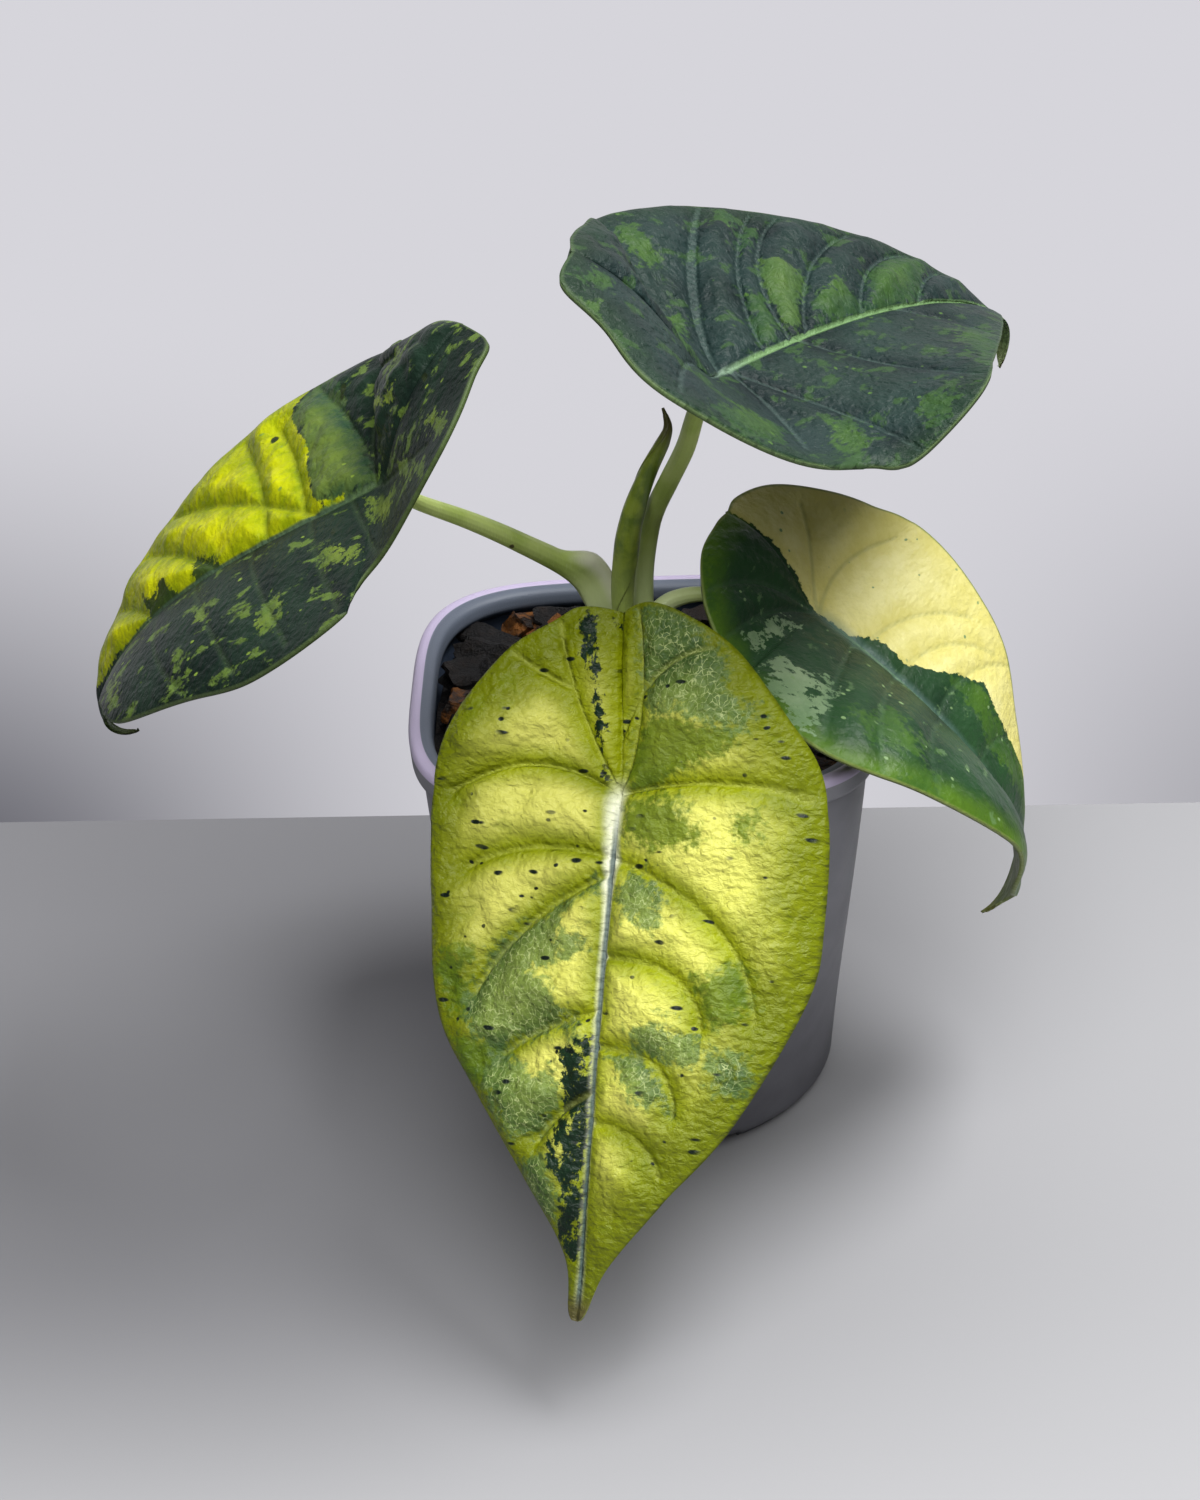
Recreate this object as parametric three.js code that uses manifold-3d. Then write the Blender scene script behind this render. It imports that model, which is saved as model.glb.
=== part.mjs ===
// Potted maharani alocasia: a young variegated plant with four leaves and a rolled new
// leaf, standing in a nursery pot that is square at the rim and round at the base.
// Millimetres, +Z up. The origin is on the table under the pot's middle, the front leaf
// hangs on the -Y side, and +X is to the right as seen from the front.
import * as THREE from 'three';
import { mergeVertices } from 'three/addons/utils/BufferGeometryUtils.js';
import Module from 'manifold-3d';

const wasm = await Module();
wasm.setup();

const DEG = Math.PI / 180;
const CLEARANCE = 0.3;

// The pot: a 10.5 cm nursery pot, 105 mm over its lip and 90 mm over its base.
const POT = {
  height: 103.5,
  rimHalfWidth: 50.6,
  baseRadius: 44.8,
  rimSquareness: 3.7,
  wall: 1.4,
  lipOverhang: 1.9,
  lipHeight: 6.5,
  lipBand: 3.4,
  floor: 1.6,
  footHeight: 2.2,
  footInset: 2.2,
  drainSlots: 8,
  drainWidth: 7,
  drainHeight: 3.6,
  sides: 40,
};

// Heights where the pot's wall and the mix against it both have a ring of points. The mix
// ends at the last.
const WALL_RINGS = [5.2, 26, 52, 76, 88];

// The mix: how far its surface swells in the middle, and its bark and charcoal chips.
const MIX = {
  edge: WALL_RINGS[WALL_RINGS.length - 1],
  wallGap: 0.6,
  mound: 3,
  chips: 58,
  chipLength: [10, 20],
  chipWidth: [6, 10],
  chipThickness: [4, 6.5],
  chipClearOfCrown: 16,
  chipClearOfWall: 1,
  seed: 41,
};

// The crown: the short stem that stands in the mix and carries the leaf stalks.
const CROWN = {
  x: -2.5,
  y: 2,
  foot: 66,
  top: 116,
  radius: 8,
  waistRadius: 6.5,
  topRadius: 7.6,
  sides: 24,
};

const BLADE_THICKNESS = 1.1;
const BLADE_ROWS = 30;
const BLADE_COLUMNS = 12;

// A small repeatable random source.
function randomSource(seed) {
  let state = seed;
  return () => {
    state = (state + 0x6d2b79f5) | 0;
    let t = Math.imul(state ^ (state >>> 15), 1 | state);
    t = (t + Math.imul(t ^ (t >>> 7), 61 | t)) ^ t;
    return ((t ^ (t >>> 14)) >>> 0) / 4294967296;
  };
}

const mix = (a, b, t) => a + (b - a) * t;
const clamp01 = (t) => Math.min(1, Math.max(0, t));
const smooth = (t) => clamp01(t) * clamp01(t) * (3 - 2 * clamp01(t));

// Geometry with only its positions, and every shared corner stored once.
function welded(geometry) {
  const bare = geometry.clone();
  bare.deleteAttribute('normal');
  bare.deleteAttribute('uv');
  return mergeVertices(bare, 1e-4);
}

function toSolid(geometry) {
  const source = welded(geometry);
  const vertProperties = new Float32Array(source.attributes.position.array);
  const triVerts = new Uint32Array(source.index.array);
  return new wasm.Manifold(new wasm.Mesh({ numProp: 3, vertProperties, triVerts }));
}

function fromSolid(solid) {
  const mesh = solid.getMesh();
  const geometry = new THREE.BufferGeometry();
  geometry.setAttribute('position', new THREE.BufferAttribute(new Float32Array(mesh.vertProperties), 3));
  geometry.setIndex(new THREE.BufferAttribute(new Uint32Array(mesh.triVerts), 1));
  return geometry;
}

// The body itself, without the pockets that chips may seal or the scraps they may leave.
function largestBody(solid) {
  return solid.decompose().reduce((a, b) => (b.volume() > a.volume() ? b : a));
}

// The pot's plan at a height: a circle at the base that turns into a rounded square.
function potHalfWidth(z) {
  return mix(POT.baseRadius, POT.rimHalfWidth, clamp01(z / POT.height));
}

function planRadius(halfWidth, z, angle) {
  const power = mix(2, POT.rimSquareness, smooth(z / POT.height));
  const sum = Math.abs(Math.cos(angle)) ** power + Math.abs(Math.sin(angle)) ** power;
  return halfWidth / sum ** (1 / power);
}

// Turns a lathe about Z whose profile gives half widths into the pot's plan.
function potShaped(profile) {
  const points = profile.map(([halfWidth, z]) => new THREE.Vector2(halfWidth, z));
  const geometry = new THREE.LatheGeometry(points, POT.sides);
  const position = geometry.attributes.position;
  for (let i = 0; i < position.count; i += 1) {
    const halfWidth = Math.hypot(position.getX(i), position.getZ(i));
    const z = position.getY(i);
    const angle = Math.atan2(-position.getZ(i), position.getX(i));
    const radius = planRadius(halfWidth, z, angle);
    position.setXYZ(i, radius * Math.cos(angle), radius * Math.sin(angle), z);
  }
  return welded(geometry);
}

function makePot() {
  const { height, wall, lipOverhang, lipHeight, lipBand, floor, footHeight } = POT;
  const outer = (z, offset = 0) => [potHalfWidth(z) + offset, z];
  const footRadius = POT.baseRadius - POT.footInset;
  const lipFoot = height - lipHeight;
  const profile = [
    [0, 0],
    [footRadius, 0],
    [footRadius, footHeight],
    outer(footHeight + 1),
    ...WALL_RINGS.map((z) => outer(z)),
    outer(lipFoot - 0.6),
    outer(lipFoot, lipOverhang * 0.7),
    outer(lipFoot + 1, lipOverhang),
    outer(height - 1.6, lipOverhang),
    outer(height - 0.5, lipOverhang * 0.75),
    outer(height, lipOverhang * 0.2),
    outer(height - 0.2, -lipBand * 0.4),
    outer(height - 1.5, -lipBand * 0.8),
    outer(height - 4, -lipBand),
    outer(height - 6, -wall),
    ...WALL_RINGS.map((z) => outer(z, -wall)).reverse(),
    [footRadius - wall, footHeight + 1.5],
    [footRadius - wall, floor + 0.6],
    [footRadius - wall - 0.6, floor],
    [0, floor],
  ];
  let solid = toSolid(potShaped(profile));
  for (let i = 0; i < POT.drainSlots; i += 1) {
    const angle = ((i + 0.5) / POT.drainSlots) * 2 * Math.PI;
    const slot = new THREE.BoxGeometry(12, POT.drainWidth, POT.drainHeight * 2);
    slot.translate(POT.baseRadius, 0, 0);
    slot.rotateZ(angle);
    solid = solid.subtract(toSolid(slot));
  }
  return fromSolid(solid);
}

// A bark or charcoal chip: a block whose corners are knocked out of square.
function makeChip(random) {
  const size = [MIX.chipLength, MIX.chipWidth, MIX.chipThickness];
  const chip = welded(new THREE.BoxGeometry(...size.map(([low, high]) => mix(low, high, random()))));
  const position = chip.attributes.position;
  for (let i = 0; i < position.count; i += 1) {
    const shrink = () => mix(0.6, 1, random());
    position.setXYZ(
      i,
      position.getX(i) * shrink(),
      position.getY(i) * shrink(),
      position.getZ(i) * shrink(),
    );
  }
  chip.rotateX(mix(-0.5, 0.5, random()));
  chip.rotateY(mix(-0.45, 0.45, random()));
  chip.rotateZ(random() * 2 * Math.PI);
  return chip;
}

function mixHeight(radius) {
  return MIX.edge + MIX.mound * (1 - clamp01(radius / potHalfWidth(MIX.edge)) ** 2);
}

function makePottingMix() {
  const base = POT.floor + CLEARANCE;
  const footRadius = POT.baseRadius - POT.footInset - POT.wall - MIX.wallGap;
  const inner = (z) => potHalfWidth(z) - POT.wall - MIX.wallGap;
  const surface = [0.8, 0.6, 0.4, 0.2, 0].map((share) => {
    const radius = share * inner(MIX.edge);
    return [radius, mixHeight(radius)];
  });
  const profile = [
    [0, base],
    [footRadius - 0.8, base],
    [footRadius, base + 0.8],
    [footRadius, POT.footHeight + 1.5],
    ...WALL_RINGS.map((z) => [inner(z), z]),
    ...surface,
  ];
  let solid = toSolid(potShaped(profile));

  const random = randomSource(MIX.seed);
  for (let i = 0; i < MIX.chips; i += 1) {
    const angle = i * 2.39996 + mix(-0.2, 0.2, random());
    const share = Math.sqrt((i + 0.5) / MIX.chips);
    const reach = planRadius(inner(MIX.edge), MIX.edge, angle);
    const chip = makeChip(random);
    chip.computeBoundingSphere();
    const furthest = reach - MIX.chipClearOfWall - chip.boundingSphere.radius;
    const radius = mix(MIX.chipClearOfCrown, Math.max(furthest, MIX.chipClearOfCrown), share);
    const lift = mixHeight(radius) + mix(0, 1.4, random());
    chip.translate(radius * Math.cos(angle), radius * Math.sin(angle), lift);
    solid = solid.add(toSolid(chip));
  }

  const radius = CROWN.radius + CLEARANCE;
  const depth = CROWN.top - CROWN.foot;
  const hole = new THREE.CylinderGeometry(radius, radius, depth, CROWN.sides);
  hole.rotateX(Math.PI / 2);
  hole.translate(CROWN.x, CROWN.y, CROWN.foot - CLEARANCE + depth / 2);
  return fromSolid(largestBody(solid.subtract(toSolid(hole))));
}

function makeCrown() {
  const profile = [
    [0, CROWN.foot],
    [CROWN.radius - 1, CROWN.foot],
    [CROWN.radius, CROWN.foot + 1],
    [CROWN.radius, MIX.edge + MIX.mound + 5],
    [mix(CROWN.radius, CROWN.waistRadius, 0.7), MIX.edge + MIX.mound + 9],
    [CROWN.waistRadius, CROWN.top - 10],
    [mix(CROWN.waistRadius, CROWN.topRadius, 0.7), CROWN.top - 4],
    [CROWN.topRadius, CROWN.top - 1.5],
    [CROWN.topRadius - 0.6, CROWN.top],
    [0, CROWN.top],
  ].map(([radius, z]) => new THREE.Vector2(radius, z));
  const geometry = new THREE.LatheGeometry(profile, CROWN.sides);
  geometry.rotateX(Math.PI / 2);
  geometry.translate(CROWN.x, CROWN.y, 0);
  return welded(geometry);
}

// A round stalk along a curve whose radius follows a list from foot to top. Its foot is
// cut level, to stand on the crown.
function makeStalk({ route, radii }) {
  const sides = 10;
  const steps = 18;
  const curve = new THREE.CatmullRomCurve3(route.map((point) => new THREE.Vector3(...point)));
  const frames = curve.computeFrenetFrames(steps, false);
  const geometry = new THREE.CylinderGeometry(1, 1, 1, sides, steps);
  const position = geometry.attributes.position;
  for (let i = 0; i < position.count; i += 1) {
    const along = clamp01(position.getY(i) + 0.5);
    const step = Math.round(along * steps);
    const place = along * (radii.length - 1);
    const first = Math.min(Math.floor(place), radii.length - 2);
    const radius = mix(radii[first], radii[first + 1], place - first);
    const point = curve.getPointAt(along);
    point.addScaledVector(frames.normals[step], radius * position.getX(i));
    point.addScaledVector(frames.binormals[step], radius * -position.getZ(i));
    position.setXYZ(i, point.x, point.y, step === 0 ? route[0][2] : point.z);
  }
  return welded(geometry);
}

// How far a blade has turned at a place along its midrib, in degrees: down towards the
// drip tip, up over the lobes behind the stalk, and sideways.
const HOOK_FROM = 0.86;
const FOLD_ASIDE_LENGTH = 14;

function midribTurn(blade, along) {
  if (along >= 0) {
    const share = along / blade.length;
    const tip = Math.max(0, (share - HOOK_FROM) / (1 - HOOK_FROM));
    return {
      down: blade.arch[0] * share + blade.arch[1] * share ** 2 + blade.hook * tip ** 2,
      aside: blade.sweep[0] * share + blade.sweep[1] * share ** 2,
    };
  }
  const back = -along / blade.lobes;
  const bent = 1 - Math.exp(along / blade.foldLength);
  const bentAside = 1 - Math.exp(along / FOLD_ASIDE_LENGTH);
  return {
    down: blade.fold[0] * bent + blade.fold[1] * back,
    aside: blade.foldAside[0] * bentAside + blade.foldAside[1] * back,
  };
}

// The midrib as a row of frames: X along it towards the tip, Y to the left, Z out of the
// upper face. It runs on behind the stalk, through the middle of the lobes.
const MIDRIB_STEP = 1;

function midribOf(blade) {
  const turned = new THREE.Euler(blade.roll * DEG, blade.pitch * DEG, blade.heading * DEG, 'ZYX');
  const atRest = new THREE.Quaternion().setFromEuler(turned);
  const frameAt = (along) => {
    const { down, aside } = midribTurn(blade, along);
    const turn = new THREE.Quaternion().setFromEuler(new THREE.Euler(0, down * DEG, aside * DEG, 'ZYX'));
    const q = atRest.clone().multiply(turn);
    return {
      x: new THREE.Vector3(1, 0, 0).applyQuaternion(q),
      y: new THREE.Vector3(0, 1, 0).applyQuaternion(q),
      z: new THREE.Vector3(0, 0, 1).applyQuaternion(q),
    };
  };
  const walk = (direction, reach) => {
    const frames = [{ ...frameAt(0), point: new THREE.Vector3(...blade.joint) }];
    for (let i = 1; i <= Math.ceil(reach / MIDRIB_STEP); i += 1) {
      const last = frames[i - 1];
      const next = frameAt(direction * i * MIDRIB_STEP);
      next.point = last.point.clone();
      next.point.addScaledVector(last.x, (direction * MIDRIB_STEP) / 2);
      next.point.addScaledVector(next.x, (direction * MIDRIB_STEP) / 2);
      frames.push(next);
    }
    return frames;
  };
  return { ahead: walk(1, blade.length + 2), behind: walk(-1, blade.lobes * 1.25) };
}

// A place on the blade's middle surface: along the midrib, and out to one side of it. Each
// side rises from the midrib and then droops, and swells between its veins. Towards the
// drip tip it rises less.
const TIP_FLATNESS = 0.8;

function bladePoint(blade, midrib, along, out, relief) {
  const frames = along >= 0 ? midrib.ahead : midrib.behind;
  const place = Math.min(Math.abs(along) / MIDRIB_STEP, frames.length - 1.001);
  const first = Math.floor(place);
  const t = place - first;
  const [a, b] = [frames[first], frames[first + 1]];
  const side = out > 0 ? blade.left : blade.right;
  const forward = smooth((along / blade.length + 0.2) / 0.5);
  const [from, over] = blade.flatten;
  const flat = 1 - TIP_FLATNESS * smooth((along / blade.length - from) / over);
  const rise = mix(side.rise[0], side.rise[1], forward) * flat;
  const droop = mix(side.droop[0], side.droop[1], forward);
  const width = Math.abs(out);
  const height = rise * width - (droop * width ** 2) / 40 + relief;
  return a.point.clone().lerp(b.point, t)
    .addScaledVector(a.y.clone().lerp(b.y, t), out)
    .addScaledVector(a.z.clone().lerp(b.z, t), height);
}

// How far a place lies from a vein: each is a curve given by its start, the point it bends
// towards and its end near the margin.
function veinDistance(veins, along, width) {
  let nearest = Infinity;
  for (const [start, bend, end] of veins) {
    for (let i = 0; i <= 8; i += 1) {
      const t = i / 8;
      const [s, w] = [0, 1].map((axis) => (
        (1 - t) ** 2 * start[axis] + 2 * t * (1 - t) * bend[axis] + t * t * end[axis]
      ));
      nearest = Math.min(nearest, Math.hypot(along - s, width - w));
    }
  }
  return nearest;
}

// The rows of a blade run from the midrib to the margin as its side veins do. These are
// the shares of the length ahead of the stalk, and of the sinus depth behind it, where the
// rows to the margin's points start.
const ROWS_AHEAD = [1, 0.94, 0.84, 0.68, 0.49, 0.31, 0.15, 0.03];
const ROWS_BEHIND = [0.12, 0.32, 0.58, 0.82, 1];
const QUILT_HEIGHT = 1.6;
const QUILT_REACH = 4;

function makeBlade(blade) {
  const midrib = midribOf(blade);
  const starts = [
    ...ROWS_AHEAD.map((share) => share * blade.length),
    ...ROWS_BEHIND.map((share) => -share * blade.sinus),
  ].map((along) => new THREE.Vector2(along, 0));
  const spine = new THREE.SplineCurve(starts);
  const margin = (side) => new THREE.SplineCurve([
    new THREE.Vector2(blade.length, 0),
    ...side.margin.map(([along, out]) => new THREE.Vector2(along, out)),
    new THREE.Vector2(-blade.sinus, 0),
  ]);
  const margins = [margin(blade.right), margin(blade.left)];

  const vertices = [];
  const place = (row, column) => {
    const u = row / BLADE_ROWS;
    const across = (2 * column) / BLADE_COLUMNS - 1;
    const side = across > 0 ? blade.left : blade.right;
    const start = spine.getPoint(u);
    const edge = margins[across > 0 ? 1 : 0].getPoint(u);
    const share = Math.abs(across);
    const along = mix(start.x, edge.x, share ** 1.25);
    const width = edge.y * share;
    const fromVein = Math.min(veinDistance(side.veins, along, width), width);
    const fromEdge = edge.y * (1 - share);
    const swell = (1 - Math.exp(-fromVein / QUILT_REACH)) * (1 - Math.exp(-fromEdge / 3));
    const relief = QUILT_HEIGHT * swell;
    vertices.push(bladePoint(blade, midrib, along, Math.sign(across) * width, relief));
    return vertices.length - 1;
  };

  // One face of triangles, with a single point at the drip tip and at the sinus.
  const tip = place(0, BLADE_COLUMNS / 2);
  const rows = [];
  for (let row = 1; row < BLADE_ROWS; row += 1) {
    rows.push(Array.from({ length: BLADE_COLUMNS + 1 }, (_, column) => place(row, column)));
  }
  const sinus = place(BLADE_ROWS, BLADE_COLUMNS / 2);
  const face = [];
  for (let column = 0; column < BLADE_COLUMNS; column += 1) {
    face.push([tip, rows[0][column], rows[0][column + 1]]);
    for (let row = 0; row + 1 < rows.length; row += 1) {
      const [a, b] = [rows[row][column], rows[row][column + 1]];
      const [c, d] = [rows[row + 1][column], rows[row + 1][column + 1]];
      if (column < BLADE_COLUMNS / 2) face.push([a, c, d], [a, d, b]);
      else face.push([a, c, b], [b, c, d]);
    }
    const last = rows[rows.length - 1];
    face.push([sinus, last[column + 1], last[column]]);
  }

  // The sheet gets its thickness both ways along its normals, and a rim closes it.
  const sheet = new THREE.BufferGeometry().setFromPoints(vertices);
  sheet.setIndex(face.flat());
  sheet.computeVertexNormals();
  const normal = sheet.attributes.normal;
  const shifted = (offset) => vertices.map((vertex, i) => vertex.clone().addScaledVector(
    new THREE.Vector3().fromBufferAttribute(normal, i), offset,
  ));
  const count = vertices.length;
  const triangles = [...face, ...face.map(([a, b, c]) => [a + count, c + count, b + count])];
  const rim = [
    tip,
    ...rows.map((row) => row[BLADE_COLUMNS]),
    sinus,
    ...rows.map((row) => row[0]).reverse(),
  ];
  rim.forEach((a, i) => {
    const b = rim[(i + 1) % rim.length];
    triangles.push([a, b, b + count], [a, b + count, a + count]);
  });
  const geometry = new THREE.BufferGeometry();
  geometry.setFromPoints([...shifted(BLADE_THICKNESS / 2), ...shifted(-BLADE_THICKNESS / 2)]);
  geometry.setIndex(triangles.flat());
  return geometry;
}

// The blades. joint is where the stalk meets the blade, on its middle surface. heading,
// pitch and roll turn the blade at rest. arch, hook and sweep bend the midrib ahead of
// the joint, fold and foldAside bend it behind, in degrees, and foldLength is how soon it
// folds. length, lobes and sinus run from the joint to the drip tip, to the lobes' ends and
// to the notch between the lobes. flatten says from where, as a share of the length, and
// over how much of it the sides flatten out towards the tip.
// Each side lists its rise and droop, over the lobes and ahead of them, then its margin
// and its veins as places along the midrib and out from it.
const BLADES = {
  leaf_front: {
    color: 0xb5c22e,
    joint: [-5.7, -61.6, 110.1],
    heading: -102.5,
    pitch: 48,
    roll: 22,
    length: 106.5,
    lobes: 37,
    sinus: 37.5,
    arch: [10, 7],
    hook: -13.5,
    sweep: [1.5, -9.5],
    fold: [11.5, -1.5],
    foldLength: 3,
    foldAside: [4, -4.5],
    flatten: [0.7, 0.2],
    left: {
      rise: [0.14, 0.01],
      droop: [0.47, 0.43],
      margin: [
        [105, 1.5], [94.5, 5.5], [80.5, 15.5], [64, 27.5], [39.5, 38], [22.5, 40],
        [-1.5, 39.5], [-16, 33], [-30, 24], [-37, 14], [-39.5, 6],
      ],
      veins: [
        [[0, 0], [-5, 19], [-1, 37]],
        [[0, 0], [-18, 8], [-38, 4]],
        [[-11, 0], [-28, 7], [-30, 20]],
        [[13, 0], [21, 28], [44, 30]],
        [[33, 0], [32, 19], [46, 21]],
        [[51, 0], [50, 17], [63, 17]],
        [[66, 0], [66, 12], [75, 15]],
      ],
    },
    right: {
      rise: [0.42, 0.02],
      droop: [0.05, -0.1],
      margin: [
        [105, 2], [93.5, 4.5], [79.5, 15], [62, 28], [46, 37.5], [21.5, 40.5],
        [-2.5, 39], [-16.5, 33.5], [-29.5, 23], [-35.5, 13.5], [-38.5, 8],
      ],
      veins: [
        [[0, 0], [-14, 20], [1, 35]],
        [[0, 0], [-17, 9], [-35, 12]],
        [[-22, 9], [-25, 15], [-29, 21]],
        [[13, 0], [8, 18], [16, 32]],
        [[16, 0], [25, 21], [42, 29]],
        [[44, 0], [47, 13], [54, 21]],
        [[60, 0], [64, 8], [71, 12]],
      ],
    },
  },
  leaf_left: {
    color: 0x8f9f28,
    joint: [-52.8, -30.8, 166.9],
    heading: 164,
    pitch: 32,
    roll: -34.5,
    length: 118.5,
    lobes: 35.5,
    sinus: 40.5,
    arch: [-9.5, 60],
    hook: 110,
    sweep: [-19.5, 35.5],
    fold: [56.5, -60],
    foldLength: 3,
    foldAside: [33, 4],
    flatten: [0.7, 0.2],
    left: {
      rise: [0.08, 0.52],
      droop: [-0.29, 0.24],
      margin: [
        [103, 1.5], [101.5, 4], [82.5, 15.5], [66.5, 31.5], [41, 38.5], [21.5, 42],
        [1, 38], [-4.5, 26], [-24, 26], [-34.5, 17.5], [-40, 12.5],
      ],
      veins: [
        [[0, 0], [-12, 8], [-21, 18]],
        [[7, 0], [1, 13], [-6, 24]],
        [[18, 0], [11, 19], [2, 35]],
        [[35, 0], [25, 19], [14, 38]],
        [[53, 0], [40, 18], [28, 38]],
        [[66, 0], [56, 22], [43, 36]],
      ],
    },
    right: {
      rise: [-0.3, -0.08],
      droop: [-0.05, 0.1],
      margin: [
        [109, 2.5], [105.5, 6], [89.5, 17.5], [67, 29], [44.5, 38.5], [23, 42.5],
        [0, 42], [-10, 32.5], [-23.5, 23], [-33, 14.5], [-38.5, 9.5],
      ],
      veins: [
        [[0, 0], [7, 23], [23, 41]],
        [[19, 0], [23, 19], [32, 32]],
        [[30, 0], [33, 19], [44, 35]],
        [[16, 0], [40, 17], [67, 27]],
        [[45, 0], [59, 12], [74, 21]],
        [[69, 0], [78, 9], [89, 16]],
        [[0, 0], [12, 47], [-25, 17]],
      ],
    },
  },
  leaf_top: {
    color: 0x3c5238,
    joint: [15.9, -38, 190.7],
    heading: 54.5,
    pitch: 4,
    roll: 6.5,
    length: 128,
    lobes: 42,
    sinus: 48,
    arch: [-19.5, 60],
    hook: 105.5,
    sweep: [-35, 40],
    fold: [92.5, -60],
    foldLength: 11,
    foldAside: [-3.5, -40],
    flatten: [0.7, 0.2],
    left: {
      rise: [-0.08, 0.45],
      droop: [-0.31, 0.08],
      margin: [
        [122, 2.5], [109, 0.5], [90.5, 12.5], [69.5, 23.5], [48.5, 34], [31, 43],
        [-10, 44.5], [-21, 41], [-32.5, 29.5], [-42.5, 18], [-47, 8.5],
      ],
      veins: [
        [[0, 0], [16, 24], [40, 39]],
        [[0, 0], [17, 21], [39, 38]],
        [[16, 0], [28, 22], [48, 32]],
        [[25, 0], [32, 22], [53, 29]],
        [[30, 0], [47, 18], [69, 21]],
        [[49, 0], [64, 15], [84, 14]],
        [[70, 0], [79, 7], [90, 9]],
      ],
    },
    right: {
      rise: [-0.3, -0.1],
      droop: [-0.04, -0.25],
      margin: [
        [109.5, 0.5], [106.5, 1], [88.5, 11], [67, 23.5], [45.5, 35.5], [24, 45.5],
        [2, 43.5], [-5, 35], [-32.5, 31], [-42, 18], [-49.5, 10.5],
      ],
      veins: [
        [[0, 0], [-24, 3], [-30, 28]],
        [[3, 0], [12, 23], [5, 43]],
        [[27, 0], [35, 23], [31, 42]],
        [[60, 0], [73, 10], [67, 21]],
        [[3, 0], [-1, 15], [-6, 28]],
      ],
    },
  },
  leaf_right: {
    color: 0x8f9a60,
    joint: [39.6, -3.8, 119.5],
    heading: -33,
    pitch: 28.5,
    roll: 7.5,
    length: 104,
    lobes: 30.5,
    sinus: 31.5,
    arch: [36.5, 60],
    hook: 28.5,
    sweep: [30, 0.5],
    fold: [59.5, -60],
    foldLength: 5,
    foldAside: [-12.5, 25],
    flatten: [0.5, 0.3],
    left: {
      rise: [-0.09, -0.1],
      droop: [-0.24, -0.12],
      margin: [
        [99.5, 1.5], [91.5, 5], [74.5, 13], [58.5, 23.5], [42.5, 34.5], [20, 40],
        [-1, 39], [-11, 31.5], [-20, 22.5], [-27.5, 14], [-31.5, 5.5],
      ],
      veins: [
        [[0, 0], [-9, 17], [-1, 33]],
        [[0, 0], [-10, 8], [-20, 16]],
        [[12, 0], [12, 22], [29, 32]],
        [[35, 0], [32, 21], [47, 32]],
        [[50, 0], [50, 10], [57, 17]],
        [[22, 0], [22, 23], [41, 30]],
      ],
    },
    right: {
      rise: [-0.06, 0.9],
      droop: [-0.01, 0.51],
      margin: [
        [97, 0.5], [88.5, 4.5], [76.5, 14], [57.5, 23], [37.5, 34], [19.5, 42.5],
        [2, 37], [-10.5, 30.5], [-24, 25.5], [-32, 15.5], [-32.5, 5],
      ],
      veins: [
        [[0, 0], [-11, 11], [-12, 27]],
        [[0, 0], [-16, 7], [-25, 22]],
        [[10, 0], [11, 21], [17, 40]],
        [[22, 0], [18, 21], [27, 39]],
        [[34, 6], [28, 21], [36, 33]],
      ],
    },
  },
};

// The stalks: the places that each passes on its way from the crown to its blade, and its
// radii from foot to top.
const STALKS = {
  petiole_front: {
    blade: 'leaf_front',
    route: [
      [-3.8, -2.9, CROWN.top + CLEARANCE], [-3.7, -4.2, 118.6], [-3.4, -9, 120.6],
      [-4, -26, 119.5], [-4.6, -46, 113],
    ],
    radii: [2.3, 2.4, 2, 1.8, 1.7],
  },
  petiole_left: {
    blade: 'leaf_left',
    route: [
      [-7.7, 2.4, CROWN.top + CLEARANCE], [-9.8, 0.8, 123], [-14.1, -1, 131.4],
      [-25.9, -9, 142.9], [-35.7, -15.5, 151.3], [-45.7, -23, 159.4],
    ],
    radii: [2.3, 2.7, 2.3, 2, 1.7, 1.4],
  },
  petiole_top: {
    blade: 'leaf_top',
    route: [
      [0.9, 6.1, CROWN.top + CLEARANCE], [1.2, 5.4, 128], [2.6, 4, 138.5],
      [4.1, -0.5, 146.1], [6.8, -7, 155.1], [10, -16.5, 166.8], [11.7, -26, 177.8],
      [13.1, -32, 184.8],
    ],
    radii: [2.4, 2.3, 2.2, 2.1, 1.9, 1.6],
  },
  petiole_right: {
    blade: 'leaf_right',
    route: [
      [2.1, -0.5, CROWN.top + CLEARANCE], [3.6, 0.6, 119.5], [7.5, 1.5, 122.2],
      [13.5, 0, 124.2], [22.3, -1.5, 123.6], [30, -1, 119.8],
    ],
    radii: [2.2, 2, 1.6, 1.5, 1.3, 0.8],
  },
};

// The new leaf, rolled up tight: it leans out in front of the top leaf's stalk.
const NEW_LEAF = {
  route: [
    [-2.6, 1.8, CROWN.top + CLEARANCE], [-3.7, -0.8, 123.4], [-3, -3, 134.7], [-2, -4, 142.4],
    [-0.1, -4, 149.5], [2.7, -3, 156], [6.1, -2, 162.4], [7, -1, 165.4], [6, 0, 169],
  ],
  radii: [2.3, 2.5, 2.7, 2.75, 2.5, 1.8, 1.25, 0.35],
};

// A stalk bends in its last few millimetres to meet its blade squarely from below, between
// the fold's two sides, and ends just under it.
const STALK_BEND = 3.5;

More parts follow.
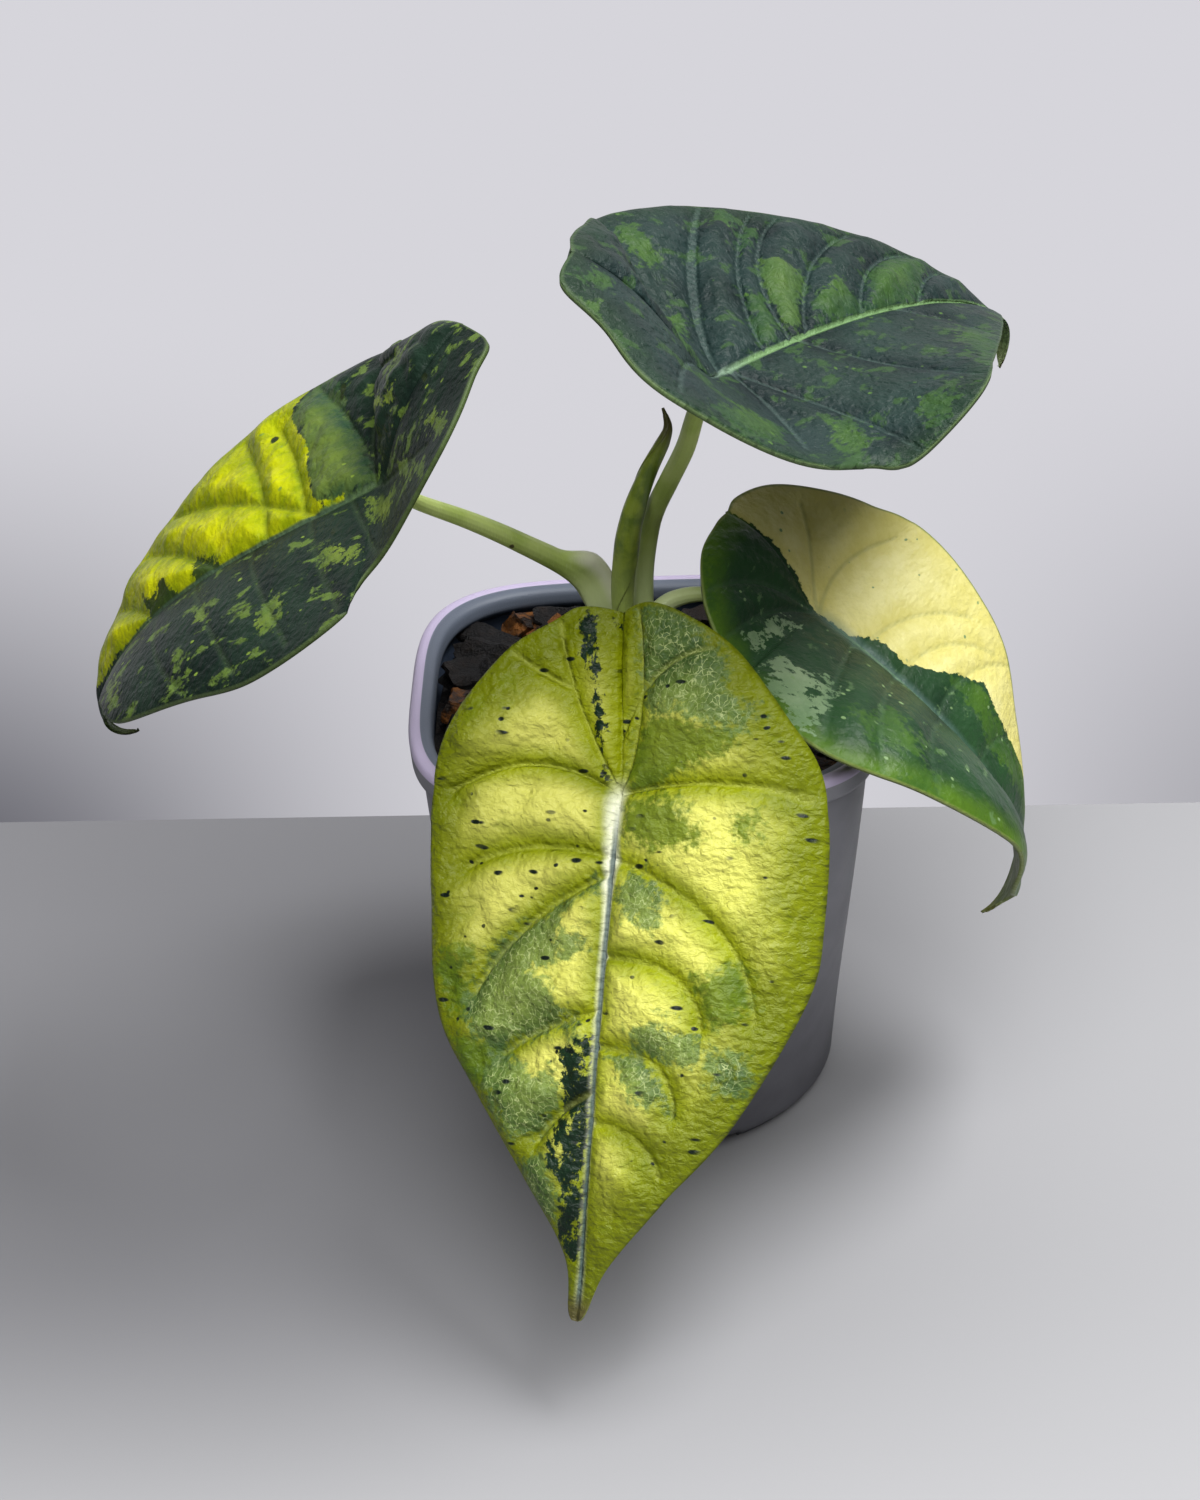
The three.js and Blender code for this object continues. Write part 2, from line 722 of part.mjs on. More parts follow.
function stalkRoute({ blade, route }) {
  const { joint, heading, pitch, roll, fold } = BLADES[blade];
  const turned = new THREE.Euler(roll * DEG, pitch * DEG, heading * DEG, 'ZYX');
  const half = (fold[0] / 2) * DEG;
  const end = new THREE.Vector3(...joint);
  const coming = new THREE.Vector3(...route[route.length - 1]).sub(end).normalize();
  const down = new THREE.Vector3(-Math.sin(half), 0, -Math.cos(half)).applyEuler(turned);
  down.lerp(coming, 0.3).normalize();
  const under = (depth) => end.clone().addScaledVector(down, depth).toArray();
  return [...route, under(STALK_BEND), under(BLADE_THICKNESS / 2 + 2 * CLEARANCE)];
}

const MATERIALS = {
  pot: { color: 0x8c8c92, roughness: 0.55, metalness: 0 },
  pottingMix: { color: 0x2a2522, roughness: 0.9, metalness: 0 },
  stalk: { color: 0x8b9c55, roughness: 0.5, metalness: 0 },
  newLeaf: { color: 0x5a7034, roughness: 0.45, metalness: 0 },
};

const plant = new THREE.Group();

function add(name, geometry, look) {
  const mesh = new THREE.Mesh(geometry, new THREE.MeshStandardMaterial(look));
  mesh.name = name;
  plant.add(mesh);
}

add('pot', makePot(), MATERIALS.pot);
add('potting_mix', makePottingMix(), MATERIALS.pottingMix);
add('crown', makeCrown(), MATERIALS.stalk);
for (const [name, stalk] of Object.entries(STALKS)) {
  add(name, makeStalk({ route: stalkRoute(stalk), radii: stalk.radii }), MATERIALS.stalk);
}
add('new_leaf', makeStalk(NEW_LEAF), MATERIALS.newLeaf);
for (const [name, blade] of Object.entries(BLADES)) {
  add(name, makeBlade(blade), { color: blade.color, roughness: 0.4, metalness: 0 });
}

export default plant;
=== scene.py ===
import math
import random

import bmesh
import bpy
import numpy as np
from mathutils import Euler, Matrix, Vector, noise


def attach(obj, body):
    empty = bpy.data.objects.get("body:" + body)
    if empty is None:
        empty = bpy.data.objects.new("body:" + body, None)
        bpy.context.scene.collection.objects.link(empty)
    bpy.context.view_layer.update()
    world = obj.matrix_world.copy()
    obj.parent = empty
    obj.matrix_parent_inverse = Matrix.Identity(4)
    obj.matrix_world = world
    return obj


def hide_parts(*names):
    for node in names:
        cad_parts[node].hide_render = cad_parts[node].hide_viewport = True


bl_info = {
    "name": "Potted alocasia",
    "version": (1, 0, 0),
    "blender": (4, 5, 0),
    "location": "View3D > Sidebar > Alocasia",
    "description": "Dresses the packed solids of a small variegated alocasia in its pot",
    "category": "Object",
}

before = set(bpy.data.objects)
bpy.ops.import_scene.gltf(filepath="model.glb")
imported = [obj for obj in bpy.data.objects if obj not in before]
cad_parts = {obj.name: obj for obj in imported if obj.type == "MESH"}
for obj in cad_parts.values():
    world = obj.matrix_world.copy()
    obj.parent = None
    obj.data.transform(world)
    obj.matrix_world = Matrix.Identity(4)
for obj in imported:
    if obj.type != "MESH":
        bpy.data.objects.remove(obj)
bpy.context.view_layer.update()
MM = 0.001

# The solids' own sizes, in millimetres.
POT_HEIGHT = 103.5
POT_RIM = 50.6
POT_BASE = 44.8
POT_SQUARENESS = 3.7
POT_WALL = 1.4
LIP_OVERHANG = 1.9
LIP_HEIGHT = 6.5
LIP_BAND = 3.4
POT_FLOOR = 1.6
FOOT_HEIGHT = 2.2
FOOT_INSET = 2.2
DRAIN_SLOTS = 8
DRAIN_SLOT_SIZE = (12, 7, 7.2)
DRAIN_SLOT_ROUNDING = 0.8
MIX_EDGE = 91.0
MIX_MOUND = 2.5
CROWN_X, CROWN_Y = -2.5, 2.0
CROWN_TOP = 116.0
CROWN_SECTION = (
    (0, 66), (7.6, 66.2), (8, 90), (8, 97), (7.4, 101), (6.9, 104), (6.6, 107), (6.9, 109.5), (7.3, 112),
    (7.5, 114), (7.2, 115.3), (0, 116),
)

# How blades bend and crease. The rows are shares of the way from the joint to the tip and to the notch.
VEIN_REACH = 4.0
HOOK_FROM = 0.86
FOLD_ASIDE_LENGTH = 14.0
TIP_FLATNESS = 0.8
DROOP_WIDTH = 40
RIM_REACH = 3.0
QUILT_SIZES = (8, 3.4)
QUILT_SHARES = (0.42, 0.189)
QUILT_CALM = 5.0
ROWS_BEND = 1.25
ROWS_AHEAD = (1, 0.94, 0.84, 0.68, 0.49, 0.31, 0.15, 0.03)
ROWS_BEHIND = (0.12, 0.32, 0.58, 0.82, 1)

SIDES = ("left", "right")

# A blade's places are millimetres along its midrib, ahead of its joint or behind it, and out to a side.
# Pairs under rise and droop are for the rear of the blade and for its front.
BLADES = {
    "front": {
        "joint": (-5.7, -61.6, 110.1), "heading": -102.5, "pitch": 48, "roll": 22, "length": 106.5,
        "lobes": 37, "sinus": 37.5, "arch": (10, 7), "hook": -13.5, "sweep": (1.5, -9.5),
        "fold": (11.5, -1.5), "fold_length": 3, "fold_aside": (4, -4.5), "flatten": (0.7, 0.2),
        "swell": (3.1, 3.9),
        "left": {
            "rise": (0.14, 0.01), "droop": (0.47, 0.43),
            "margin": [
                (105, 1.5), (94.5, 5.5), (80.5, 15.5), (64, 27.5), (39.5, 38), (22.5, 40), (-1.5, 39.5),
                (-16, 33), (-30, 24), (-37, 14), (-39.5, 6),
            ],
            "veins": [
                ((0, 0), (-5, 19), (-1, 37)), ((0, 0), (-18, 8), (-38, 4)), ((-11, 0), (-28, 7), (-30, 20)),
                ((13, 0), (21, 28), (44, 30)), ((33, 0), (32, 19), (46, 21)), ((51, 0), (50, 17), (63, 17)),
                ((66, 0), (66, 12), (75, 15)),
            ],
        },
        "right": {
            "rise": (0.42, 0.02), "droop": (0.05, -0.1),
            "margin": [
                (105, 2), (93.5, 4.5), (79.5, 15), (62, 28), (46, 37.5), (21.5, 40.5), (-2.5, 39),
                (-16.5, 33.5), (-29.5, 23), (-35.5, 13.5), (-38.5, 8),
            ],
            "veins": [
                ((0, 0), (-14, 20), (1, 35)), ((0, 0), (-17, 9), (-35, 12)), ((-22, 9), (-25, 15), (-29, 21)),
                ((13, 0), (8, 18), (16, 32)), ((16, 0), (25, 21), (42, 29)), ((44, 0), (47, 13), (54, 21)),
                ((60, 0), (64, 8), (71, 12)),
            ],
        },
    },
    "left": {
        "joint": (-52.8, -30.8, 166.9), "heading": 164, "pitch": 32, "roll": -34.5, "length": 118.5,
        "lobes": 35.5, "sinus": 40.5, "arch": (-9.5, 60), "hook": 110, "sweep": (-19.5, 35.5),
        "fold": (56.5, -60), "fold_length": 3, "fold_aside": (33, 4), "flatten": (0.7, 0.2),
        "swell": (0.5, 3),
        "left": {
            "rise": (0.08, 0.52), "droop": (-0.29, 0.24),
            "margin": [
                (103, 1.5), (101.5, 4), (82.5, 15.5), (66.5, 31.5), (41, 38.5), (21.5, 42), (1, 38),
                (-4.5, 26), (-24, 26), (-34.5, 17.5), (-40, 12.5),
            ],
            "veins": [
                ((0, 0), (-12, 8), (-21, 18)), ((7, 0), (1, 13), (-6, 24)), ((18, 0), (11, 19), (2, 35)),
                ((35, 0), (25, 19), (14, 38)), ((53, 0), (40, 18), (28, 38)), ((66, 0), (56, 22), (43, 36)),
            ],
        },
        "right": {
            "rise": (-0.3, -0.08), "droop": (-0.05, 0.1),
            "margin": [
                (109, 2.5), (105.5, 6), (89.5, 17.5), (67, 29), (44.5, 38.5), (23, 42.5), (0, 42),
                (-10, 32.5), (-23.5, 23), (-33, 14.5), (-38.5, 9.5),
            ],
            "veins": [
                ((0, 0), (7, 23), (23, 41)), ((19, 0), (23, 19), (32, 32)), ((30, 0), (33, 19), (44, 35)),
                ((16, 0), (40, 17), (67, 27)), ((45, 0), (59, 12), (74, 21)), ((69, 0), (78, 9), (89, 16)),
                ((0, 0), (12, 47), (-25, 17)),
            ],
        },
    },
    "top": {
        "joint": (15.9, -38, 190.7), "heading": 54.5, "pitch": 4, "roll": 6.5, "length": 128, "lobes": 42,
        "sinus": 48, "arch": (-19.5, 60), "hook": 105.5, "sweep": (-35, 40), "fold": (92.5, -60),
        "fold_length": 11, "fold_aside": (-3.5, -40), "flatten": (0.7, 0.2), "swell": (3.4, 1.3),
        "left": {
            "rise": (-0.08, 0.45), "droop": (-0.31, 0.08),
            "margin": [
                (122, 2.5), (109, 0.5), (90.5, 12.5), (69.5, 23.5), (48.5, 34), (29, 42.2), (12, 44.5),
                (-6, 35.5), (-32.5, 29.5), (-42.5, 18), (-47, 8.5),
            ],
            "veins": [
                ((0, 0), (16, 24), (40, 39)), ((0, 0), (17, 21), (39, 38)), ((16, 0), (28, 22), (48, 32)),
                ((25, 0), (32, 22), (53, 29)), ((30, 0), (47, 18), (69, 21)), ((49, 0), (64, 15), (84, 14)),
                ((70, 0), (79, 7), (90, 9)),
            ],
        },
        "right": {
            "rise": (-0.3, -0.1), "droop": (-0.04, -0.25),
            "margin": [
                (109.5, 0.5), (106.5, 1), (88.5, 11), (67, 23.5), (45.5, 35.5), (24, 45.5), (2, 43.5),
                (-5, 35), (-32.5, 31), (-42, 18), (-49.5, 10.5),
            ],
            "veins": [
                ((0, 0), (-24, 3), (-30, 28)), ((3, 0), (12, 23), (5, 43)), ((27, 0), (35, 23), (31, 42)),
                ((60, 0), (73, 10), (67, 21)), ((3, 0), (-1, 15), (-6, 28)),
            ],
        },
    },
    "right": {
        "joint": (39.6, -3.8, 119.5), "heading": -33, "pitch": 28.5, "roll": 7.5, "length": 104,
        "lobes": 30.5, "sinus": 31.5, "arch": (36.5, 60), "hook": 28.5, "sweep": (30, 0.5),
        "fold": (59.5, -60), "fold_length": 5, "fold_aside": (-12.5, 25), "flatten": (0.5, 0.3),
        "swell": (1, 1.4),
        "left": {
            "rise": (-0.09, -0.1), "droop": (-0.24, -0.12),
            "margin": [
                (99.5, 1.5), (91.5, 5), (74.5, 13), (58.5, 23.5), (42.5, 34.5), (20, 40), (-1, 39),
                (-11, 31.5), (-20, 22.5), (-27.5, 14), (-31.5, 5.5),
            ],
            "veins": [
                ((0, 0), (-9, 17), (-1, 33)), ((0, 0), (-10, 8), (-20, 16)), ((12, 0), (12, 22), (29, 32)),
                ((35, 0), (32, 21), (47, 32)), ((50, 0), (50, 10), (57, 17)), ((22, 0), (22, 23), (41, 30)),
            ],
        },
        "right": {
            "rise": (-0.06, 0.9), "droop": (-0.01, 0.51),
            "margin": [
                (97, 0.5), (88.5, 4.5), (76.5, 14), (57.5, 23), (37.5, 34), (19.5, 42.5), (2, 37),
                (-10.5, 30.5), (-24, 25.5), (-32, 15.5), (-32.5, 5),
            ],
            "veins": [
                ((0, 0), (-11, 11), (-12, 27)), ((0, 0), (-16, 7), (-25, 22)), ((10, 0), (11, 21), (17, 40)),
                ((22, 0), (18, 21), (27, 39)), ((34, 6), (28, 21), (36, 33)),
            ],
        },
    },
}

# Outlines of the markings, with out to the left of the midrib counted up.
MARKS = {
    "front": {
        "dark": [
            [(-38, -7), (-37, -4), (-30, -4), (-22, -4), (-24, -5), (-30, -7), (-34, -7)],
            [(-22, -4), (-15, -3), (-10, -3), (-3, -2), (-3, -3), (-9, -4), (-18, -5)],
            [(-38, -2), (-38, 0), (-34, 0), (-34, -1)],
            [(53, -7), (49, -1), (55, -0.7), (62, -0.7), (69, -0.7), (76, -0.7), (83, -0.7),
             (93, -0.7), (94, -4), (91, -6), (84, -5), (81, -4), (74, -8), (65, -7), (61, -6), (57, -7)],
        ],
        "marble": [
            [(-38, 5), (-39, 10), (-36, 16), (-31, 21), (-28, 22), (-22, 24), (-16, 29), (-13, 27),
             (-14, 21), (-17, 14), (-17, 8), (-23, 6), (-30, 5)],
            [(17, -1), (22, -9), (26, -17), (31, -23), (38, -28), (46, -31), (52, -26), (52, -16),
             (48, -8), (50, -3), (46, -3), (42, -9), (36, -13), (31, -3), (28, -3), (29, -9), (25, -9),
             (21, -4)],
            [(16, 4), (17, 11), (27, 13), (28, 8), (22, 3)],
            [(46, 7), (45, 15), (47, 21), (52, 21), (53, 16), (51, 10)],
            [(52, 3), (52, 10), (58, 16), (63, 17), (61, 12), (56, 6)],
            [(50, 23), (50, 29), (54, 31), (59, 28), (56, 24)],
            [(54, -24), (58, -12), (56, -8), (62, -7), (68, -9), (72, -16), (66, -22), (60, -25)],
            [(74, -9), (80, -6), (88, -5), (87, -10), (80, -14), (74, -14)],
        ],
        # The olive outlines are partly olive markings and partly painted shade near the joint and lower down
        # the blade.
        "olive_and_shade": [
            [(-16, 6), (-16, 16), (-13, 26), (-10, 25), (-6, 16), (0, 7), (-1, 2)],
            [(2, 2), (0, 14), (7, 19), (10, 17), (11, 10), (10, 4)],
            [(3, 25), (2, 29), (8, 30), (8, 26)],
            [(34, -37), (33, -29), (42, -30), (49, -27), (47, -34)],
            [(51, -33), (51, -21), (61, -18), (65, -23), (60, -29)],
            [(36, 19), (32, 27), (40, 30), (46, 24), (42, 21)],
        ],
    },
    "left": {
        "yellow": [
            [(24, -47), (34, -48), (46, -45), (57, -40), (67, -35), (77, -30), (88, -23), (96, -17),
             (106, -10), (100, -3), (85, -1), (70, 0), (58, 0), (45, 0), (33, 0), (22, 0), (9, -1),
             (16, -3), (18, -9), (20, -16), (21, -22), (28, -33)],
        ],
        "sector": [
            [(27, -39), (22, -46), (15, -36), (10, -24), (4, -12), (1, -2), (9, -1), (16, -3),
             (19, -11), (21, -22), (28, -33)],
        ],
        "lime": [
            [(23, 24), (19, 21), (18, 29), (19, 33), (24, 28)],
            [(12, 13), (1, 18), (2, 22), (9, 18)],
            [(3, 1), (-10, 11), (-7, 16), (-1, 11)],
            [(-23, 10), (-26, 17), (-25, 21), (-22, 12)],
            [(-13, 8), (-20, 21), (-20, 27), (-14, 14)],
            [(46, 12), (42, 14), (41, 18), (44, 17)],
            [(48, 30), (41, 32), (41, 36), (46, 34)],
            [(80, 12), (71, 18), (67, 27), (73, 23)],
            [(2, -30), (-21, -6), (-18, -5), (-12, -13)],
            [(-27, -19), (-29, -14), (-27, -12), (-24, -16)],
        ],
        "dark": [
            [(53, -6), (46, -4), (43, 1), (52, 1)],
            [(72, -6), (62, -5), (57, 1), (70, 1)],
        ],
    },
    "top": {
        "mid": [
            [(12, 37), (18, 39), (18, 32), (15, 28), (10, 28), (13, 32)],
            [(-48, -7), (-44, -3), (-40, -3), (-41, -7), (-46, -9)],
            [(-20, 3), (0, 20), (8, 16), (4, 11), (-14, 2)],
            [(42, 7), (50, 8), (53, 3), (50, 0), (35, 0)],
            [(61, 8), (79, 15), (87, 12), (73, 2), (61, 0), (50, -1)],
            [(40, 28), (45, 27), (37, 22), (35, 24)],
            [(41, 35), (43, 32), (39, 29), (37, 32)],
            [(27, 14), (30, 11), (27, 6), (21, 1), (16, 2)],
            [(-24, -27), (-10, -17), (-5, -21), (-11, -29), (-16, -31), (-22, -32)],
            [(4, -24), (6, -28), (4, -34), (-1, -34), (-2, -28)],
            [(18, -36), (21, -42), (14, -45), (11, -43), (14, -38)],
            [(64, -15), (69, -18), (53, -32), (37, -39), (52, -24)],
        ],
        "yellow": [
            [(-45, -14), (-43, -12), (-43, -16), (-45, -17)],
            [(38, 20), (40, 17), (43, 11), (34, 6), (28, 1), (27, 3), (30, 9), (34, 16)],
        ],
    },
    "right": {
        "cream": [
            [(-34, 0), (-23, 1), (-12, 1.5), (0, 0), (8, 1), (13, 6), (22, 6), (30, 12), (34, 16),
             (42, 20), (45, 18), (56, 17), (72, 14), (70, 24), (52, 42), (32, 50), (10, 52), (-8, 50),
             (-24, 36), (-34, 20)],
        ],
        "pale": [
            [(-7, -19), (-8, -15), (-5, -10), (0, -8), (0, -10), (-3, -14), (-2, -16), (-5, -19)],
            [(1, -27), (2, -24), (5, -25), (9, -23), (10, -27), (10, -31), (12, -32), (14, -36),
             (14, -41), (11, -40), (8, -37), (3, -34)],
            [(-10, -23), (-7, -20), (-4, -23), (-7, -26)],
            [(9, -23), (11, -21), (15, -28), (14, -34), (11, -30)],
        ],
        "bright": [
            [(34, 14), (42, 19), (52, 17), (62, 15), (70, 11), (56, 9), (42, 10)],
            [(-32, -15), (-28, -13), (-19, -25), (-22, -28)],
            [(17, -29), (23, -22), (30, -23), (30, -30), (23, -33)],
            [(29, -37), (35, -30), (36, -34), (31, -40)],
        ],
    },
}

# Stalks: the places that each passes on its way up, and its radii from foot to top.
STALKS = {
    "front": (
        [(-3.8, -2.9, 116.3), (-3.7, -4.2, 118.6), (-3.4, -9, 120.6), (-4, -26, 119.5), (-4.6, -46, 113)],
        [2.3, 2.4, 2, 1.8, 1.7],
    ),
    "left": (
        [(-7.7, 2.4, 116.3), (-9.8, 0.8, 123), (-14.1, -1, 131.4), (-25.9, -9, 142.9), (-35.7, -15.5, 151.3),
         (-45.7, -23, 159.4)],
        [2.3, 2.7, 2.3, 2, 1.7, 1.4],
    ),
    "top": (
        [(0.9, 6.1, 116.3), (1.2, 5.4, 128), (2.6, 4, 138.5), (4.1, -0.5, 146.1), (6.8, -7, 155.1),
         (10, -16.5, 166.8), (11.7, -26, 177.8), (13.1, -32, 184.8)],
        [2.4, 2.3, 2.2, 2.1, 1.9, 1.6],
    ),
    "right": (
        [(2.1, -0.5, 116.3), (3.6, 0.6, 119.5), (7.5, 1.5, 122.2), (13.5, 0, 124.2), (22.3, -1.5, 123.6),
         (30, -1, 119.8)],
        [2.2, 2, 1.6, 1.5, 1.3, 0.8],
    ),
}
NEW_LEAF = (
    [(-2.6, 1.8, 116.3), (-3.7, -0.8, 123.4), (-3, -3, 134.7), (-2, -4, 142.4), (-0.1, -4, 149.5),
     (2.7, -3, 156), (6.1, -2, 162.4), (7, -1, 165.4), (6, 0, 169)],
    [2.3, 2.5, 2.7, 2.75, 2.5, 2, 1.55, 0.35],
)

# The larger pieces of bark beside the crown: place, turns about z, y and x, size, and tone.
BARK_PIECES = (
    (-34.5, 33.5, 96.4, -0.57, 0.05, 0.2, 19, 6, 3, 0.02),
    (-35.5, 26.5, 95.4, -0.5, 0.05, 0.75, 17, 8, 3, 0.5),
    (-40, 18.5, 95, 0.5, 0.1, 0.3, 12, 8, 6, 0.05),
    (-27.5, 40, 96.3, 0.9, 0.4, 0.5, 9, 6, 6, 0.97),
    (-22.5, 37.5, 95.8, 0.2, -0.3, 0.2, 9, 5, 5, 0.9),
    (-17.5, 41, 96.4, 0.1, 0.1, 0.4, 14, 7, 6, 0.05),
    (-42, 4, 94.6, 1.5, 0.2, 0.3, 11, 6, 6, 0.96),
    (15, 40.5, 96.2, 0.7, 0.2, 0.2, 10, 6, 5, 0.75),
    (-30, 12, 95, 2.9, 0.25, 0.1, 20, 8, 4, 0.1),
    (-27, 22, 95.2, 2.3, 0.1, -0.3, 18, 8, 4, 0.2),
)

# The chips strewn over the rest of the mix: their sizes, the turn from one to the next, and the angle from
# which an edge looks sharp.
CHIP_LENGTH, CHIP_WIDTH, CHIP_THICKNESS = (6, 19), (4, 9), (2.2, 5)
CHIP_TURN, CHIP_SHARP = 2.39996, 0.45

# Colours of the skins as they look on a screen, in parts of 255. A patch has the name of its marking, two
# tones, how ragged its edge is in millimetres, how soft, how strong, and how much of it is left out. The
# first tone lies on the swellings between the veins and the second in the creases, so the pair, mixed with
# cloudy noise, carries painted highlight and painted shade besides the marking's own colour.
# The bulge tint is a painted highlight on the swellings between the veins.
LOOKS = {
    "front": {
        "slot": "leaf_yellow", "ground": [(142, 151, 8), (118, 129, 2)], "bulge_highlight": ((205, 204, 98), 1.0),
        "rim_shade": ((96, 106, 0), 18, 0.9),
        "patches": [
            # The olive patch is partly the blade's olive colour and partly painted shade.
            ("olive_and_shade", [(92, 114, 10), (66, 90, 20)], 6, 1.8, 0.88, 0.25),
            ("marble", [(108, 130, 58), (54, 80, 40)], 6, 1.5, 0.92, 0.3),
            ("dark", [(24, 48, 28), (10, 28, 16)], 3.5, 0.3, 1.0, 0.44),
        ],
        "mottle": ((110, 128, 20), 7, 0.6, 0.25, (1, 0.8, 1)), "veining": ((176, 182, 84), 0.25, 1.2),
        "glow": ((240, 242, 216), 1.0, 3.4, 1.5), "midline": (74, 94, 92),
        "specks": [((14, 26, 18), 4.0, 0.36, (1.6, 0.65, 1)), ((14, 26, 18), 2.2, 0.2, (1, 0.8, 1))],
        "net": ((188, 198, 134), 0.6, "marble"), "edge": (96, 106, 8), "tip": (80, 76, 40),
        "under": (150, 160, 70), "shine": 0.2, "roughness": 0.42, "crinkle": 0.95,
    },
    "left": {
        "slot": "leaf_half_yellow", "ground": [(26, 42, 32), (12, 24, 20)], "bulge_highlight": ((36, 56, 38), 0.25),
        "rim_shade": ((16, 28, 18), 8, 0.4),
        "patches": [
            ("lime", [(112, 130, 46), (76, 98, 40)], 6, 0.4, 0.85, 0.42),
            ("sector", [(90, 108, 44), (36, 62, 42)], 4, 0.8, 0.95, 0.2),
            ("yellow", [(182, 184, 14), (116, 130, 2)], 2.0, 0.3, 1.0, 0.1),
            ("dark", [(26, 42, 26), (38, 58, 26)], 5, 0.4, 0.95, 0.4),
        ],
        "mottle": ((86, 108, 44), 5, 0.58, 0.85, (0.6, 1, 1)), "veining": ((80, 100, 60), 0.15, 1.2),
        "glow": ((104, 130, 84), 0.5, 1.6, 0.8), "midline": (60, 78, 60),
        "specks": [((34, 44, 22), 6, 0.1, (1.3, 0.8, 1)), ((112, 134, 50), 2.4, 0.16, (0.8, 1.2, 1))],
        "edge": (70, 84, 54), "tip": (84, 84, 66), "under": (70, 86, 44), "shine": 0.1, "roughness": 0.42,
        "crinkle": 0.45,
    },
    "top": {
        "slot": "leaf_green", "ground": [(29, 45, 43), (17, 29, 29)], "bulge_highlight": ((34, 52, 44), 0.5),
        "rim_shade": ((30, 52, 28), 8, 0.5),
        "patches": [
            ("mid", [(58, 86, 34), (34, 60, 36)], 6, 0.8, 0.85, 0.34),
            ("yellow", [(74, 98, 44), (56, 82, 40)], 4, 0.7, 0.85, 0.3),
        ],
        "mottle": ((46, 72, 36), 6, 0.57, 0.7, (0.8, 1, 1)), "veining": ((92, 112, 104), 0.22, 0.8),
        "glow": ((120, 144, 120), 0.75, 1.2, 0.8), "midline": (96, 126, 80),
        "specks": [((64, 92, 42), 2.4, 0.12, (1, 1, 1))], "edge": (58, 76, 48), "tip": (70, 56, 42),
        "under": (96, 116, 72), "shine": 0.14, "roughness": 0.46, "crinkle": 0.85,
    },
    "right": {
        "slot": "leaf_half_cream", "ground": [(34, 64, 34), (22, 46, 28)], "bulge_highlight": ((40, 72, 42), 0.5),
        "rim_shade": ((78, 110, 22), 8, 0.75),
        "patches": [
            ("bright", [(66, 98, 28), (48, 80, 30)], 8, 1.6, 0.8, 0.35),
            ("pale", [(132, 152, 116), (96, 122, 86)], 5, 0.3, 0.92, 0.42),
            ("cream", [(210, 204, 138), (194, 186, 106)], 1.6, 0.2, 1.0, 0.1),
        ],
        "mottle": ((88, 116, 74), 4, 0.63, 0.6, (1, 0.7, 1)), "veining": ((70, 96, 70), 0.25, 1.0),
        "glow": ((92, 118, 112), 0.5, 4.5, 3.2), "midline": (84, 112, 84),
        "specks": [((112, 138, 92), 2.2, 0.16, (1, 1, 1)), ((60, 52, 26), 9, 0.06, (1.6, 0.7, 1))],
        "edge": (112, 128, 62), "tip": (124, 120, 58), "under": (130, 142, 84), "shine": 0.2,
        "roughness": 0.42, "crinkle": 0.35,
    },
}

# The stage, in metres and degrees.
FLOOR_SIDE, FLOOR_FRONT = 2.0, -2.6
FLOOR_BACK = {"left": 0.17, "right": 0.045}
BACKDROP_DISTANCE, BACKDROP_HALF = 2.2, 2.5
KEY_LIGHT = {"place": (0.42, 0.02, 1.05), "target": (0.0, -0.02, 0.10), "size": 0.5}
FRONT_LIGHT = {"place": (0.0, -0.6, 1.0), "target": (0.0, 0.0, 0.12), "size": 0.9}
CAMERA_PLACE = (-0.00838, -0.47792, 0.36756)
CAMERA_YAW, CAMERA_DOWN, CAMERA_ROLL = 0.19, 30.62, -2.01
FOCAL_LENGTH, SENSOR_WIDTH = 57.6, 36


def paint(tone):
    """A colour given as it looks on a screen, for a shader."""
    return tuple(((x / 255 + 0.055) / 1.055) ** 2.4 for x in tone)


def blend(a, b, t):
    return a + (b - a) * t


def smooth(t):
    t = np.clip(t, 0, 1)
    return t * t * (3 - 2 * t)


def spline(points, u):
    """Places on a smooth curve through points, at shares u of the way along their list."""
    points = np.asarray(points, float)
    last = len(points) - 1
    place = np.clip(u, 0, 1) * last
    first = np.minimum(place.astype(int), last - 1)
    t = (place - first)[:, None]
    a, b = points[first], points[first + 1]
    before, after = points[np.maximum(first - 1, 0)], points[np.minimum(first + 2, last)]
    leave, arrive = (b - before) / 2, (after - a) / 2
    cubic = (2 * a - 2 * b + leave + arrive) * t**3
    return cubic + (3 * b - 3 * a - 2 * leave - arrive) * t**2 + leave * t + a


# Shader maths.


class Signal:
    """A socket that takes part in expressions. Each operator adds a Math node."""

    def __init__(self, finish, socket):
        self.finish, self.socket = finish, socket

    def math(self, operation, *values):
        return self.finish.node("ShaderNodeMath", {"operation": operation}, dict(enumerate(values)))

    def __add__(self, other):
        return self.math("ADD", self, other)

    def __radd__(self, other):
        return self.math("ADD", other, self)

    def __sub__(self, other):
        return self.math("SUBTRACT", self, other)

    def __rsub__(self, other):
        return self.math("SUBTRACT", other, self)

    def __mul__(self, other):
        return self.math("MULTIPLY", self, other)

    def __rmul__(self, other):
        return self.math("MULTIPLY", other, self)

    def __truediv__(self, other):
        return self.math("DIVIDE", self, other)

    def __abs__(self):
        return self.math("ABSOLUTE", self)

    def at_most(self, other):
        return self.math("MINIMUM", self, other)

    def step(self, low, high):
        """0 up to low, 1 from high, and a smooth rise between them."""
        sockets = {"Value": self, "From Min": low, "From Max": high}
        return self.finish.node("ShaderNodeMapRange", {"interpolation_type": "SMOOTHSTEP"}, sockets)


